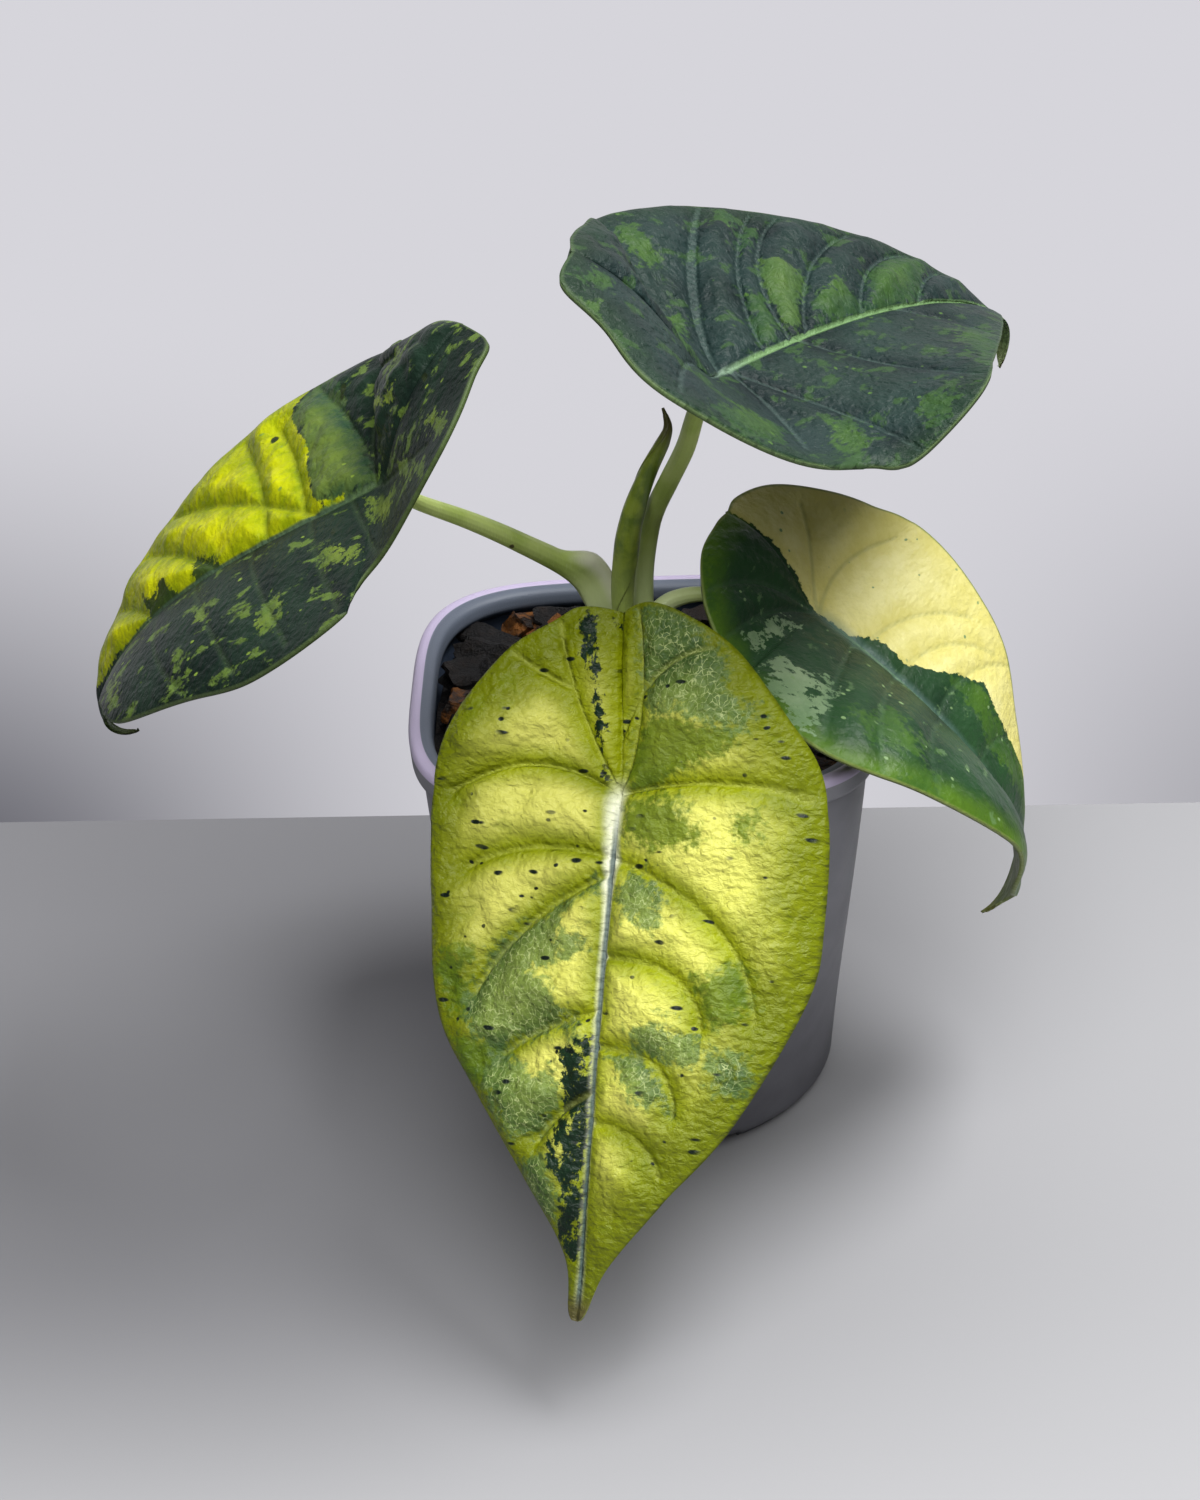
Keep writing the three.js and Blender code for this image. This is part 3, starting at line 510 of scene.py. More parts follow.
class Finish:
    """A material under construction. Constants go on the shader's own sockets."""

    def __init__(self, name, **constants):
        self.material = bpy.data.materials.new(name)
        self.material.use_nodes = True
        self.nodes = self.material.node_tree.nodes
        self.links = self.material.node_tree.links
        self.shader = self.nodes["Principled BSDF"]
        self.done(**constants)

    def feed(self, socket, value):
        if isinstance(value, Signal):
            self.links.new(value.socket, socket)
        elif socket.type == "RGBA":
            socket.default_value = (*value[:3], 1)
        else:
            socket.default_value = value

    def node(self, kind, settings, sockets, output=0):
        node = self.nodes.new(kind)
        for name, value in settings.items():
            setattr(node, name, value)
        for name, value in sockets.items():
            self.feed(node.inputs[name], value)
        return Signal(self, node.outputs[output])

    def attribute(self, name):
        return self.node("ShaderNodeAttribute", {"attribute_name": name}, {}, "Fac")

    def place(self, scale=(1, 1, 1), uv=None, turn=(0, 0, 0)):
        """Coordinates for a pattern in millimetres, on the object or on a UV map."""
        if uv:
            start = self.node("ShaderNodeUVMap", {"uv_map": uv}, {})
        else:
            start = self.node("ShaderNodeTexCoord", {}, {}, "Object")
            scale = [x / MM for x in scale]
        sockets = {"Vector": start, "Scale": tuple(scale), "Rotation": turn}
        return self.node("ShaderNodeMapping", {}, sockets)

    def axes(self):
        """The object's own x, y and z, in metres."""
        where = self.node("ShaderNodeTexCoord", {}, {}, "Object")
        split = self.node("ShaderNodeSeparateXYZ", {}, {"Vector": where})
        return [Signal(self, output) for output in split.socket.node.outputs]

    def noise(self, where, size, detail, roughness=0.5, distortion=0.0, output=0):
        """Cloudy noise about 0.5, with blobs of about that size."""
        sockets = {
            "Vector": where, "Scale": 1 / size, "Detail": detail, "Roughness": roughness,
            "Distortion": distortion,
        }
        return self.node("ShaderNodeTexNoise", {}, sockets, output)

    def cells(self, where, size, feature="F1", output="Distance"):
        sockets = {"Vector": where, "Scale": 1 / size}
        return self.node("ShaderNodeTexVoronoi", {"feature": feature}, sockets, output)

    def mix(self, a, b, factor):
        """Colour a where the factor is 0, and b where it is 1."""
        settings = {"data_type": "RGBA", "clamp_factor": True}
        return self.node("ShaderNodeMix", settings, {0: factor, 6: a, 7: b}, 2)

    def push(self, where, size, amount):
        """Coordinates pushed about by up to that amount."""
        def move(operation, sockets):
            return self.node("ShaderNodeVectorMath", {"operation": operation}, sockets)

        drift = move("SUBTRACT", {0: self.noise(where, size, 2, output="Color"), 1: (0.5, 0.5, 0.5)})
        return move("ADD", {0: where, 1: move("SCALE", {0: drift, "Scale": amount})})

    def flecks(self, where, size, share, spread):
        """Small marks in a share of the cells of a pattern."""
        tone = self.cells(where, size, output="Color")
        lot = self.node("ShaderNodeSeparateColor", {}, {"Color": tone})
        mark = 1 - self.cells(where, size).step(spread * 0.6, spread)
        return mark * lot.step(1 - share, 1 - share + 0.01)

    def bump(self, height, depth):
        """Relief in which a height of 1 stands for that many millimetres."""
        return self.node("ShaderNodeBump", {}, {"Height": height, "Distance": depth * MM})

    def done(self, **sockets):
        for name, value in sockets.items():
            self.feed(self.shader.inputs[name.replace("_", " ")], value)
        return self.material


# Meshes.


def grid_mesh(columns, rows, place):
    """A grid moved into shape. place turns shares across and along it into millimetres, with
    the UV maps and the named numbers that its material reads."""
    bm = bmesh.new()
    bmesh.ops.create_grid(bm, x_segments=columns, y_segments=rows, size=0.5)
    shares = np.array([vert.co[:2] for vert in bm.verts]) + 0.5
    made = place(shares[:, 0], shares[:, 1])
    for vert, point in zip(bm.verts, made["points"] * MM):
        vert.co = point
    for name, pairs in made.get("maps", {}).items():
        layer = bm.loops.layers.uv.new(name)
        for face in bm.faces:
            for loop in face.loops:
                loop[layer].uv = pairs[loop.vert.index]
    for name, numbers in made.get("fields", {}).items():
        layer = bm.verts.layers.float.new(name)
        for vert, number in zip(bm.verts, numbers):
            vert[layer] = number
    bmesh.ops.remove_doubles(bm, verts=bm.verts, dist=1e-7)
    return bm


def outward(bm):
    bmesh.ops.recalc_face_normals(bm, faces=bm.faces)
    return bm


def placed(bm, name, *materials):
    """An object made from a bmesh. It sits at the origin, with its place in its mesh."""
    mesh = bpy.data.meshes.new(name)
    bm.to_mesh(mesh)
    bm.free()
    for material in materials:
        mesh.materials.append(material)
    made = bpy.data.objects.new(name, mesh)
    bpy.context.scene.collection.objects.link(made)
    return made


def finished(bm, name, slot, *materials, replaces=()):
    """A smooth piece of the part, in place of the solids that it replaces. The slot is not used."""
    piece = placed(bm, name, *materials)
    piece.data.polygons.foreach_set("use_smooth", [True] * len(piece.data.polygons))
    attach(piece, "root")
    if replaces:
        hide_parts(*replaces)
    return piece


def lumps(places, size, seed):
    """Smooth noise of about that size, at places in a plane."""
    return np.array([noise.noise(Vector((x / size, y / size, seed))) for x, y in places])


# Blades.


def turned(axis, degrees):
    return np.array(Matrix.Rotation(math.radians(degrees), 3, axis))


def lie_of(blade):
    """How a blade is turned at its joint."""
    return turned("Z", blade["heading"]) @ turned("Y", blade["pitch"]) @ turned("X", blade["roll"])


def midrib_turn(blade, along):
    """How far the midrib has turned down and aside at a place along it."""
    if along >= 0:
        share = along / blade["length"]
        tip = max(0, (share - HOOK_FROM) / (1 - HOOK_FROM))
        down = blade["arch"][0] * share + blade["arch"][1] * share**2 + blade["hook"] * tip**2
        return down, blade["sweep"][0] * share + blade["sweep"][1] * share**2
    back = -along / blade["lobes"]
    bent = 1 - math.exp(along / blade["fold_length"])
    bent_aside = 1 - math.exp(along / FOLD_ASIDE_LENGTH)
    down = blade["fold"][0] * bent + blade["fold"][1] * back
    return down, blade["fold_aside"][0] * bent_aside + blade["fold_aside"][1] * back


def midrib_of(blade):
    """Places along the midrib a millimetre apart, with its points and frames there."""
    lie = lie_of(blade)

    def frame_at(along):
        down, aside = midrib_turn(blade, along)
        return lie @ turned("Z", aside) @ turned("Y", down)

    def walk(direction, reach):
        points, frames = [np.array(blade["joint"], float)], [frame_at(0)]
        for i in range(1, math.ceil(reach) + 1):
            frames.append(frame_at(direction * i))
            points.append(points[-1] + direction * (frames[-2][:, 0] + frames[-1][:, 0]) / 2)
        return points, frames

    ahead, behind = walk(1, blade["length"] + 2), walk(-1, blade["lobes"] * 1.25)
    points = np.array(behind[0][:0:-1] + ahead[0])
    frames = np.array(behind[1][:0:-1] + ahead[1])
    return 1 - len(behind[0]), points, frames


def on_blade(blade, midrib, along, out, relief):
    """Places on the blade's middle surface, along the midrib and out to a side of it."""
    rear, points, frames = midrib
    place = np.clip(along - rear, 0, len(points) - 1.001)
    first = place.astype(int)
    t = (place - first)[:, None]
    point = blend(points[first], points[first + 1], t)
    aside = blend(frames[first, :, 1], frames[first + 1, :, 1], t)
    up = blend(frames[first, :, 2], frames[first + 1, :, 2], t)
    forward = smooth((along / blade["length"] + 0.2) / 0.5)
    start, over = blade["flatten"]
    flat = 1 - TIP_FLATNESS * smooth((along / blade["length"] - start) / over)

    def of_side(key):
        return np.where(out > 0, *[blend(*blade[side][key], forward) for side in SIDES])

    width = np.abs(out)
    height = of_side("rise") * flat * width - of_side("droop") * width**2 / DROOP_WIDTH + relief
    return point + aside * out[:, None] + up * height[:, None]


def distance_to(chains, along, width):
    """How far places lie from the nearest of some chains of straight pieces."""
    nearest = np.full(len(along), 1e3)
    for chain in chains:
        for (s0, w0), (s1, w1) in zip(chain[:-1], chain[1:]):
            run, rise = s1 - s0, w1 - w0
            t = ((along - s0) * run + (width - w0) * rise) / (run * run + rise * rise + 1e-9)
            t = np.clip(t, 0, 1)
            nearest = np.minimum(nearest, np.hypot(along - s0 - t * run, width - w0 - t * rise))
    return nearest


def inside(outline, along, out):
    """How far places lie inside a closed outline, or minus how far outside."""
    points = np.asarray(outline, float)
    away = distance_to([np.vstack([points, points[:1]])], along, out)
    within = np.zeros(len(along), bool)
    for (s0, w0), (s1, w1) in zip(points, np.roll(points, -1, 0)):
        level = (w0 > out) != (w1 > out)
        within ^= level & (along < (s1 - s0) * (out - w0) / (w1 - w0 + 1e-12) + s0)
    return np.where(within, away, -away)


def vein_chains(veins):
    """Each vein as a chain of short straight pieces along its bend."""
    t = np.linspace(0, 1, 17)[:, None]
    chains = []
    for start, bend, end in np.array(veins, float):
        chains.append((1 - t) ** 2 * start + 2 * t * (1 - t) * bend + t * t * end)
    return chains


def make_blade(blade, marks, settings):
    """A blade's sheet with its creases and swellings, made solid about its middle."""
    midrib = midrib_of(blade)
    spine = [(share * blade["length"], 0) for share in ROWS_AHEAD]
    spine += [(-share * blade["sinus"], 0) for share in ROWS_BEHIND]
    tip, notch = [(blade["length"], 0)], [(-blade["sinus"], 0)]
    sides = [blade[side] for side in SIDES]

    def place(x, y):
        across = 2 * x - 1
        share, left = np.abs(across), across > 0
        start = spline(spine, y)[:, 0]
        edges = [spline(tip + side["margin"] + notch, y) for side in sides]
        edge = np.where(left[:, None], *edges)
        along = blend(start, edge[:, 0], share**ROWS_BEND)
        width = edge[:, 1] * share
        out = np.sign(across) * width
        veins = [distance_to(vein_chains(side["veins"]), along, width) for side in sides]
        vein = np.where(left, *veins)
        rim = edge[:, 1] * (1 - share)
        crease = np.minimum(vein, width)
        swell = (1 - np.exp(-crease / VEIN_REACH)) * (1 - np.exp(-rim / RIM_REACH))
        places = np.stack([along, out], 1)
        seed = blade["heading"]
        quilt = QUILT_SHARES[0] * lumps(places, QUILT_SIZES[0], seed)
        quilt += QUILT_SHARES[1] * lumps(places, QUILT_SIZES[1], seed + 9)
        calm = np.minimum(1, crease / QUILT_CALM) * np.minimum(1, rim / QUILT_CALM)
        relief = np.where(left, *blade["swell"]) * settings.quilt * (swell + quilt * calm)
        fields = {"vein": vein, "rib": width, "rim": rim, "along": along}
        for kind, outlines in marks.items():
            fields[kind] = np.max([inside(outline, along, out) for outline in outlines], axis=0)
        return {
            "points": on_blade(blade, midrib, along, out, relief),
            "maps": {"leaf": places},
            "fields": fields,
        }

    return thickened(grid_mesh(settings.columns, settings.rows, place), settings.thickness)


def thickened(bm, thickness):
    """Gives an open sheet its thickness about its middle. Its back takes the second material."""
    bm.normal_update()
    normals = [vert.normal * thickness / 2 for vert in bm.verts]
    copy = bmesh.ops.duplicate(bm, geom=bm.verts[:] + bm.edges[:] + bm.faces[:])
    back = [face for face in copy["geom"] if isinstance(face, bmesh.types.BMFace)]
    bmesh.ops.reverse_faces(bm, faces=back)
    for face in back:
        face.material_index = 1
    bm.verts.ensure_lookup_table()
    for vert, twin, normal in zip(bm.verts[: len(normals)], bm.verts[len(normals) :], normals):
        vert.co += normal
        twin.co -= normal
    bmesh.ops.bridge_loops(bm, edges=[edge for edge in bm.edges if edge.is_boundary])
    return bm


def blade_finish(name, look, length, back):
    """Leaf skin: a ground, patches with ragged edges, veins, specks, and a crinkled gloss. The swellings
    between the veins carry a painted highlight, and the patches a painted shade in the creases.
    """
    finish = Finish(name, Specular_IOR_Level=look["shine"])

    def skin(*scale):
        return finish.place(scale=scale, uv="leaf")

    def over(tint, factor):
        nonlocal colour
        colour = finish.mix(colour, paint(tint), factor)

    leaf, narrow = skin(1, 1, 1), skin(0.7, 1, 1)
    vein, rib, rim, along = (finish.attribute(key) for key in ("vein", "rib", "rim", "along"))
    cloud = finish.noise(leaf, 20, 4)
    ragged = finish.noise(leaf, 6, 6, 0.65)
    grain = finish.noise(leaf, 1.5, 4, 0.6)
    # Where the skin swells between the veins: it places the painted highlight and the patches' painted crease
    # shade.
    swelling = vein.at_most(rib).step(0.6, 6.5) * rim.step(1, 14)

    colour = finish.mix(*map(paint, look["ground"]), cloud.step(0.36, 0.66))
    # Painted highlight: the bulge tint lightens the swellings between the veins.
    tint, strength = look["bulge_highlight"]
    over(tint, swelling * strength * (0.4 + cloud))
    tint, reach, strength = look["rim_shade"]
    over(tint, (1 - (rim + (ragged - 0.5) * reach).step(0, reach)) * strength)
    tint, size, level, strength, stretch = look["mottle"]
    streaky = finish.noise(finish.push(skin(*stretch), 8, 5), size, 6, 0.62)
    over(tint, streaky.step(level - 0.02, level + 0.04) * strength)
    for kind, tones, rough, soft, strength, gaps in look["patches"]:
        field = finish.attribute(kind) + (ragged - 0.5) * rough * 2 + (grain - 0.5) * rough
        # Painted highlight and shade: a patch takes its first tone on the swellings and its second in the
        # creases, with cloudy noise besides.
        depth = 1 - swelling * 0.65 - finish.noise(leaf, 5, 5, 0.65).step(0.4, 0.6) * 0.35
        whole = finish.noise(narrow, 3.2, 6, 0.7).step(gaps - 0.03, gaps + 0.03)
        tone = finish.mix(*map(paint, tones), depth)
        colour = finish.mix(colour, tone, field.step(-soft, soft) * whole * strength)
    if "net" in look:
        tint, strength, kind = look["net"]
        cells = finish.cells(finish.push(narrow, 2, 2.2), 1.2, "DISTANCE_TO_EDGE")
        net = (1 - cells.step(0.0, 0.08)) * finish.attribute(kind).step(-1, 3) * grain.step(0.35, 0.6)
        over(tint, net * strength)

    tint, strength, reach = look["veining"]
    over(tint, (1 - vein.step(0, reach)) * strength)
    tint, strength, near, far = look["glow"]
    ahead = along.step(-5, 4) * (1 - along.step(length * 0.15, length * 0.75) * 0.75)
    reach = near + along.step(0, length * 0.28) * (far - near)
    spread = rib / reach + (ragged - 0.5) * 0.5
    over(tint, (1 - spread.step(0.1, 1)) * ahead * strength)
    over(look["midline"], (1 - rib.step(0.4, 0.9)) * along.step(0, length * 0.12) * 0.9)
    for tint, size, share, stretch in look["specks"]:
        marks = finish.flecks(finish.push(skin(*stretch), 4, 1.2), size, share, 0.23)
        over(tint, marks * finish.noise(leaf, 13, 2).step(0.44, 0.52) * rim.step(0.5, 2))
    over(look["edge"], (1 - rim.step(0.15, 0.7)) * 0.8)
    over(look["tip"], along.step(length * 0.93, length * 0.985))
    if back:
        over(look["under"], 0.6)

    crinkle = finish.noise(skin(1, 0.8, 1), 1.2, 3, 0.55, 0.4)
    pebbles = finish.cells(finish.push(skin(1, 0.9, 1), 3, 1.5), 1.6, "SMOOTH_F1")
    grooves = (1 - vein.step(0, 1.2)) * 0.4 + (1 - rib.step(0, 0.9)) * 0.4
    relief = finish.bump(crinkle * 0.8 - pebbles * 0.7 - grooves, look["crinkle"])
    rough = look["roughness"] + (crinkle - 0.5) * 0.2 + (cloud - 0.5) * 0.1
    return finish.done(Base_Color=colour, Roughness=rough, Normal=relief)


# Stalks and other round stems.


def along_route(points, count):
    """Evenly spaced points on a smooth curve through a route, with frames carried along it."""
    dense = spline(points, np.linspace(0, 1, 600))
    run = np.concatenate([[0], np.cumsum(np.linalg.norm(np.diff(dense, axis=0), axis=1))])
    even = np.linspace(0, run[-1], count)
    spots = np.stack([np.interp(even, run, dense[:, i]) for i in range(3)], 1)
    tangents = np.gradient(spots, axis=0)
    tangents /= np.linalg.norm(tangents, axis=1)[:, None]
    across = np.cross(tangents[0], (0, 1, 0.2))
    sides = []
    for tangent in tangents:
        across = across - tangent * across.dot(tangent)
        across /= np.linalg.norm(across)
        sides.append(across)
    return spots, tangents, np.array(sides), run[-1]


def make_stem(route, radii, section, columns=48, rows=120, twist=0.0):
    """A round stem with closed ends. section gives its radius a factor by place and angle."""
    spots, tangents, sides, length = along_route(route, rows - 3)
    binormals = np.cross(tangents, sides)

    def place(x, y):
        row = np.clip(np.round(y * rows).astype(int) - 2, 0, rows - 4)
        share = row / (rows - 4)
        radius = np.interp(share, np.linspace(0, 1, len(radii)), radii)
        angle = 2 * np.pi * (x + twist * share)
        end = np.minimum(y * rows, rows - y * rows)
        closing = np.select([end < 0.5, end < 1.5], [0.0, 0.75], 1.0)
        radius = radius * section(share, x) * closing
        points = spots[row] + sides[row] * (radius * np.cos(angle))[:, None]
        points = points + binormals[row] * (radius * np.sin(angle))[:, None]
        return {"points": points, "fields": {"along": share * length, "turn": 2 * np.pi * x}}

    return outward(grid_mesh(columns, rows, place))


# The pot.


def plan_radius(half_width, z, angle):
    """The pot's plan is round at the base and turns into a rounded square at the rim."""
    power = blend(2, POT_SQUARENESS, smooth(z / POT_HEIGHT))
    total = np.abs(np.cos(angle)) ** power + np.abs(np.sin(angle)) ** power
    return half_width / total ** (1 / power)


def pot_half_width(z):
    return blend(POT_BASE, POT_RIM, np.clip(np.asarray(z, float) / POT_HEIGHT, 0, 1))


def pot_profile():
    """The pot's section from the middle of its base, up its wall and down inside it."""
    foot = POT_BASE - FOOT_INSET
    inside_foot = foot - POT_WALL
    top, lip = POT_HEIGHT, POT_HEIGHT - LIP_HEIGHT
    runs = []

    def run(zone, count, points):
        runs.extend((*p, zone) for p in spline(points, np.linspace(0, 1, count)))

    def wall(*places):
        """Places given by their height and how far out from the wall they are."""
        return [(float(pot_half_width(z)) + out, z) for z, out in places]

    run(0, 6, [(0, 0), (foot - 0.6, 0)])
    run(0, 3, [(foot, 0.5), (foot, FOOT_HEIGHT)])
    run(0, 6, [(foot + 0.6, FOOT_HEIGHT + 0.1), *wall((FOOT_HEIGHT + 0.5, -0.5), (FOOT_HEIGHT + 1.3, 0))])
    run(0, 34, wall(*((z, 0) for z in np.linspace(5, lip - 1.2, 12))))
    run(0, 7, wall((lip - 0.7, 0), (lip - 0.1, 0.8), (lip + 0.8, LIP_OVERHANG)))
    run(0, 4, wall((lip + 1.6, LIP_OVERHANG), (top - 2.2, LIP_OVERHANG)))
    bead = ((1.5, 1), (0.4, 0.72), (0, 0.15))
    run(1, 11, wall(*((top - down, LIP_OVERHANG * out) for down, out in bead), (top - 0.25, -0.6)))
    band = ((0.7, 0.6), (1.6, 0.92), (4, 1))
    run(2, 10, wall((top - 0.5, -0.9), *((top - down, -LIP_BAND * inward) for down, inward in band)))
    run(3, 4, wall((top - 5, -LIP_BAND * 0.9), (top - 6.5, -POT_WALL)))
    run(3, 24, wall(*((z, -POT_WALL) for z in np.linspace(top - 9, 6, 8))))
    run(3, 3, [(inside_foot, FOOT_HEIGHT + 1.5), (inside_foot - 0.5, POT_FLOOR)])
    run(3, 4, [(inside_foot - 3, POT_FLOOR), (0, POT_FLOOR)])
    return np.array(runs)


def make_pot(settings):
    """The pot's profile led round its plan, with drain slots cut through the edge of its base."""
    profile = pot_profile()
    rows = len(profile) - 1

    def place(x, y):
        half_width, z, zone = profile[np.round(y * rows).astype(int)].T
        angle = 2 * np.pi * x
        radius = plan_radius(half_width, z, angle)
        points = np.stack([radius * np.cos(angle), radius * np.sin(angle), z], 1)
        return {"points": points, "fields": {"zone": zone}}

    bm = outward(grid_mesh(settings.columns, rows, place))
    piece = finished(bm, "nursery_pot", "pot", pot_finish(settings), replaces=["pot"])
    cutter = bmesh.new()
    for i in range(DRAIN_SLOTS):
        turn = Matrix.Rotation((i + 0.5) / DRAIN_SLOTS * 2 * math.pi, 4, "Z")
        size = Matrix.Diagonal((*(x * MM for x in DRAIN_SLOT_SIZE), 1))
        bmesh.ops.create_cube(cutter, size=1, matrix=turn @ Matrix.Translation((POT_BASE * MM, 0, 0)) @ size)
    bmesh.ops.bevel(
        cutter, geom=cutter.edges[:], offset=DRAIN_SLOT_ROUNDING * MM, offset_type="OFFSET", segments=2,
        profile=0.5, affect="EDGES", material=-1,
    )
    tool = placed(cutter, "drain_cutter")
    cut = piece.modifiers.new("drain slots", "BOOLEAN")
    cut.operation, cut.object, cut.solver = "DIFFERENCE", tool, "EXACT"
    bpy.context.view_layer.update()
    shaped = piece.evaluated_get(bpy.context.evaluated_depsgraph_get())
    cut_mesh = bpy.data.meshes.new_from_object(shaped)
    piece.modifiers.remove(cut)
    piece.data = cut_mesh
    bpy.data.objects.remove(tool)


def pot_finish(settings):
    """Matte moulded plastic, paler at the lip, with faint marks of handling. Painted shade darkens it
    towards the base and inside the pot.
    """
    finish = Finish("pot_plastic", Specular_IOR_Level=0.4)
    where = finish.place()
    zone = finish.attribute("zone")
    cloud = finish.noise(where, 18, 4, 0.55)
    grain = finish.noise(where, 0.35, 2, 0.5)
    scuffs = finish.noise(finish.place(scale=(1, 1, 0.12)), 1.4, 5, 0.7)
    height = finish.axes()[2]
    # Painted shade: the wall darkens towards the base, over random cloudy blotches.
    shade = cloud.step(0.35, 0.7) * 0.25 + (1 - height.step(-0.01, 0.09)) * 0.9
    wall = finish.mix(settings.wall, [x * 0.5 for x in settings.wall], shade)
    colour = finish.mix(wall, settings.bead, zone.step(0.3, 0.6))
    colour = finish.mix(colour, settings.band, zone.step(1.3, 1.6))
    # Painted shade: the inside of the pot is darker and bluer than the outside, fading in across the band.
    colour = finish.mix(colour, settings.inner, zone.step(1.5, 2.8))
    colour = finish.mix(colour, [min(1, x * 1.35) for x in settings.wall], scuffs.step(0.66, 0.76) * 0.3)
    rough = 0.5 + (cloud - 0.5) * 0.2 + scuffs.step(0.6, 0.8) * 0.12
    return finish.done(Base_Color=colour, Roughness=rough, Normal=finish.bump(grain + cloud * 2, 0.06))


# The mix and its chips.


def mix_height(radius):
    """The mix is a low mound, with its edge a little below the pot's lip."""
    return MIX_EDGE + MIX_MOUND * (1 - np.clip(radius / float(pot_half_width(MIX_EDGE)), 0, 1) ** 2)


def make_bed(settings):
    """The rough top of the mix, which turns down inside the pot and closes below."""
    inner = float(pot_half_width(MIX_EDGE)) - POT_WALL - 0.6
    top_rows = 0.8

    def place(x, y):
        angle = 2 * np.pi * x
        radius = plan_radius(inner, MIX_EDGE, angle) * np.clip(y / top_rows, 0, 1)
        depth = np.clip((y - top_rows) / (1 - top_rows), 0, 1)
        flat = np.stack([radius * np.cos(angle), radius * np.sin(angle)], 1)
        rough = lumps(flat, 5, 3.1) * 1.6 + lumps(flat, 1.8, 8.4) * 0.8 + lumps(flat, 0.8, 5.5) * 0.35
        z = mix_height(radius) - 1.2 + rough * (1 - depth)
        z = np.where(depth > 0, blend(MIX_EDGE - 1.5, MIX_EDGE - 14, depth), z)
        closing = y > 0.97
        flat *= np.where(closing, 0, 1)[:, None]
        return {"points": np.stack([flat[:, 0], flat[:, 1], z], 1)}

    bm = outward(grid_mesh(200, 110, place))
    finished(bm, "mix_bed", "potting_mix", mix_finish("damp_mix", settings), replaces=["potting_mix"])


def make_chips(settings):
    """Bark and charcoal chips: knocked-about blocks strewn over the bed."""
    dice = random.Random(settings.seed)
    noise.seed_set(settings.seed)
    inner = float(pot_half_width(MIX_EDGE)) - POT_WALL - 1.2
    bm = bmesh.new()
    tone = bm.verts.layers.float.new("tone")
    large = len(BARK_PIECES)
    for i in range(large + settings.chips):
        if i < large:
            x, y, z, heading, tilt, roll, length, width, thick, shade = BARK_PIECES[i]
        else:
            angle, share = i * CHIP_TURN, math.sqrt((i - large + 0.5) / settings.chips)
            length, width, thick = (dice.uniform(*both) for both in (CHIP_LENGTH, CHIP_WIDTH, CHIP_THICKNESS))
            reach = float(plan_radius(inner, MIX_EDGE, angle)) - length * 0.5 - 1
            radius = blend(11, reach, share)
            x, y = radius * math.cos(angle), radius * math.sin(angle)
            z = float(mix_height(radius)) + dice.uniform(-0.5, 2.4)
            heading, tilt, roll = dice.uniform(0, 6.28), dice.gauss(0, 0.3), dice.gauss(0, 0.4)
            shade = dice.random()
        before = len(bm.verts)
        block = bmesh.ops.create_cube(bm, size=1)["verts"]
        edges = list(dict.fromkeys(edge for vert in block for edge in vert.link_edges))
        bmesh.ops.subdivide_edges(bm, edges=edges, cuts=4 if i < large else 2, use_grid_fill=True)
        lie = Euler((roll, tilt, heading)).to_matrix().to_4x4()
        shape = Matrix.Translation((x * MM, y * MM, z * MM)) @ lie
        for vert in list(bm.verts)[before:]:
            p = vert.co.copy()
            p *= 1 - 0.2 * (abs(p.x) ** 3 + abs(p.y) ** 3 + abs(p.z) ** 3)
            spot = Vector((p.x * 2.2 + i * 3.7, p.y * 1.6, p.z * 1.6))
            p += noise.noise_vector(spot) * 0.17 + noise.noise_vector(spot * 3.1) * 0.12
            vert.co = shape @ Vector((p.x * length * MM, p.y * width * MM, p.z * thick * MM))
            vert[tone] = shade
    outward(bm)
    for edge in bm.edges:
        edge.smooth = edge.calc_face_angle(0) < CHIP_SHARP
    finished(bm, "bark_chips", "potting_mix", mix_finish("bark", settings, chips=True))


def mix_finish(name, settings, chips=False):
    """Damp bark and charcoal: near black, fibrous, with a few orange-brown faces."""
    finish = Finish(name, Specular_IOR_Level=0.25)
    where = finish.place()
    cloud = finish.noise(where, 4, 5, 0.62)
    fibres = finish.noise(finish.place(scale=(0.25, 1, 1), turn=(0.3, 0.2, 0.9)), 0.7, 4, 0.65)
    colour = finish.mix(settings.dark, settings.brown, cloud.step(0.45, 0.8) * 0.6)
    if chips:
        tone = finish.attribute("tone")
        colour = finish.mix(colour, settings.brown, tone.step(0.45, 0.8) * (0.3 + cloud * 0.5))
        colour = finish.mix(colour, settings.orange, tone.step(0.86, 0.9) * cloud.step(0.4, 0.6))
    colour = finish.mix(colour, settings.dust, fibres.step(0.62, 0.8) * 0.35)
    rough = 0.55 + (cloud - 0.5) * 0.5
    height = cloud * 1.2 + fibres * 0.6 + finish.noise(where, 0.5, 3, 0.6) * 0.4
    return finish.done(Base_Color=colour, Roughness=rough, Normal=finish.bump(height, 1.2))


# Green finishes for stalks, crown and the rolled leaf.


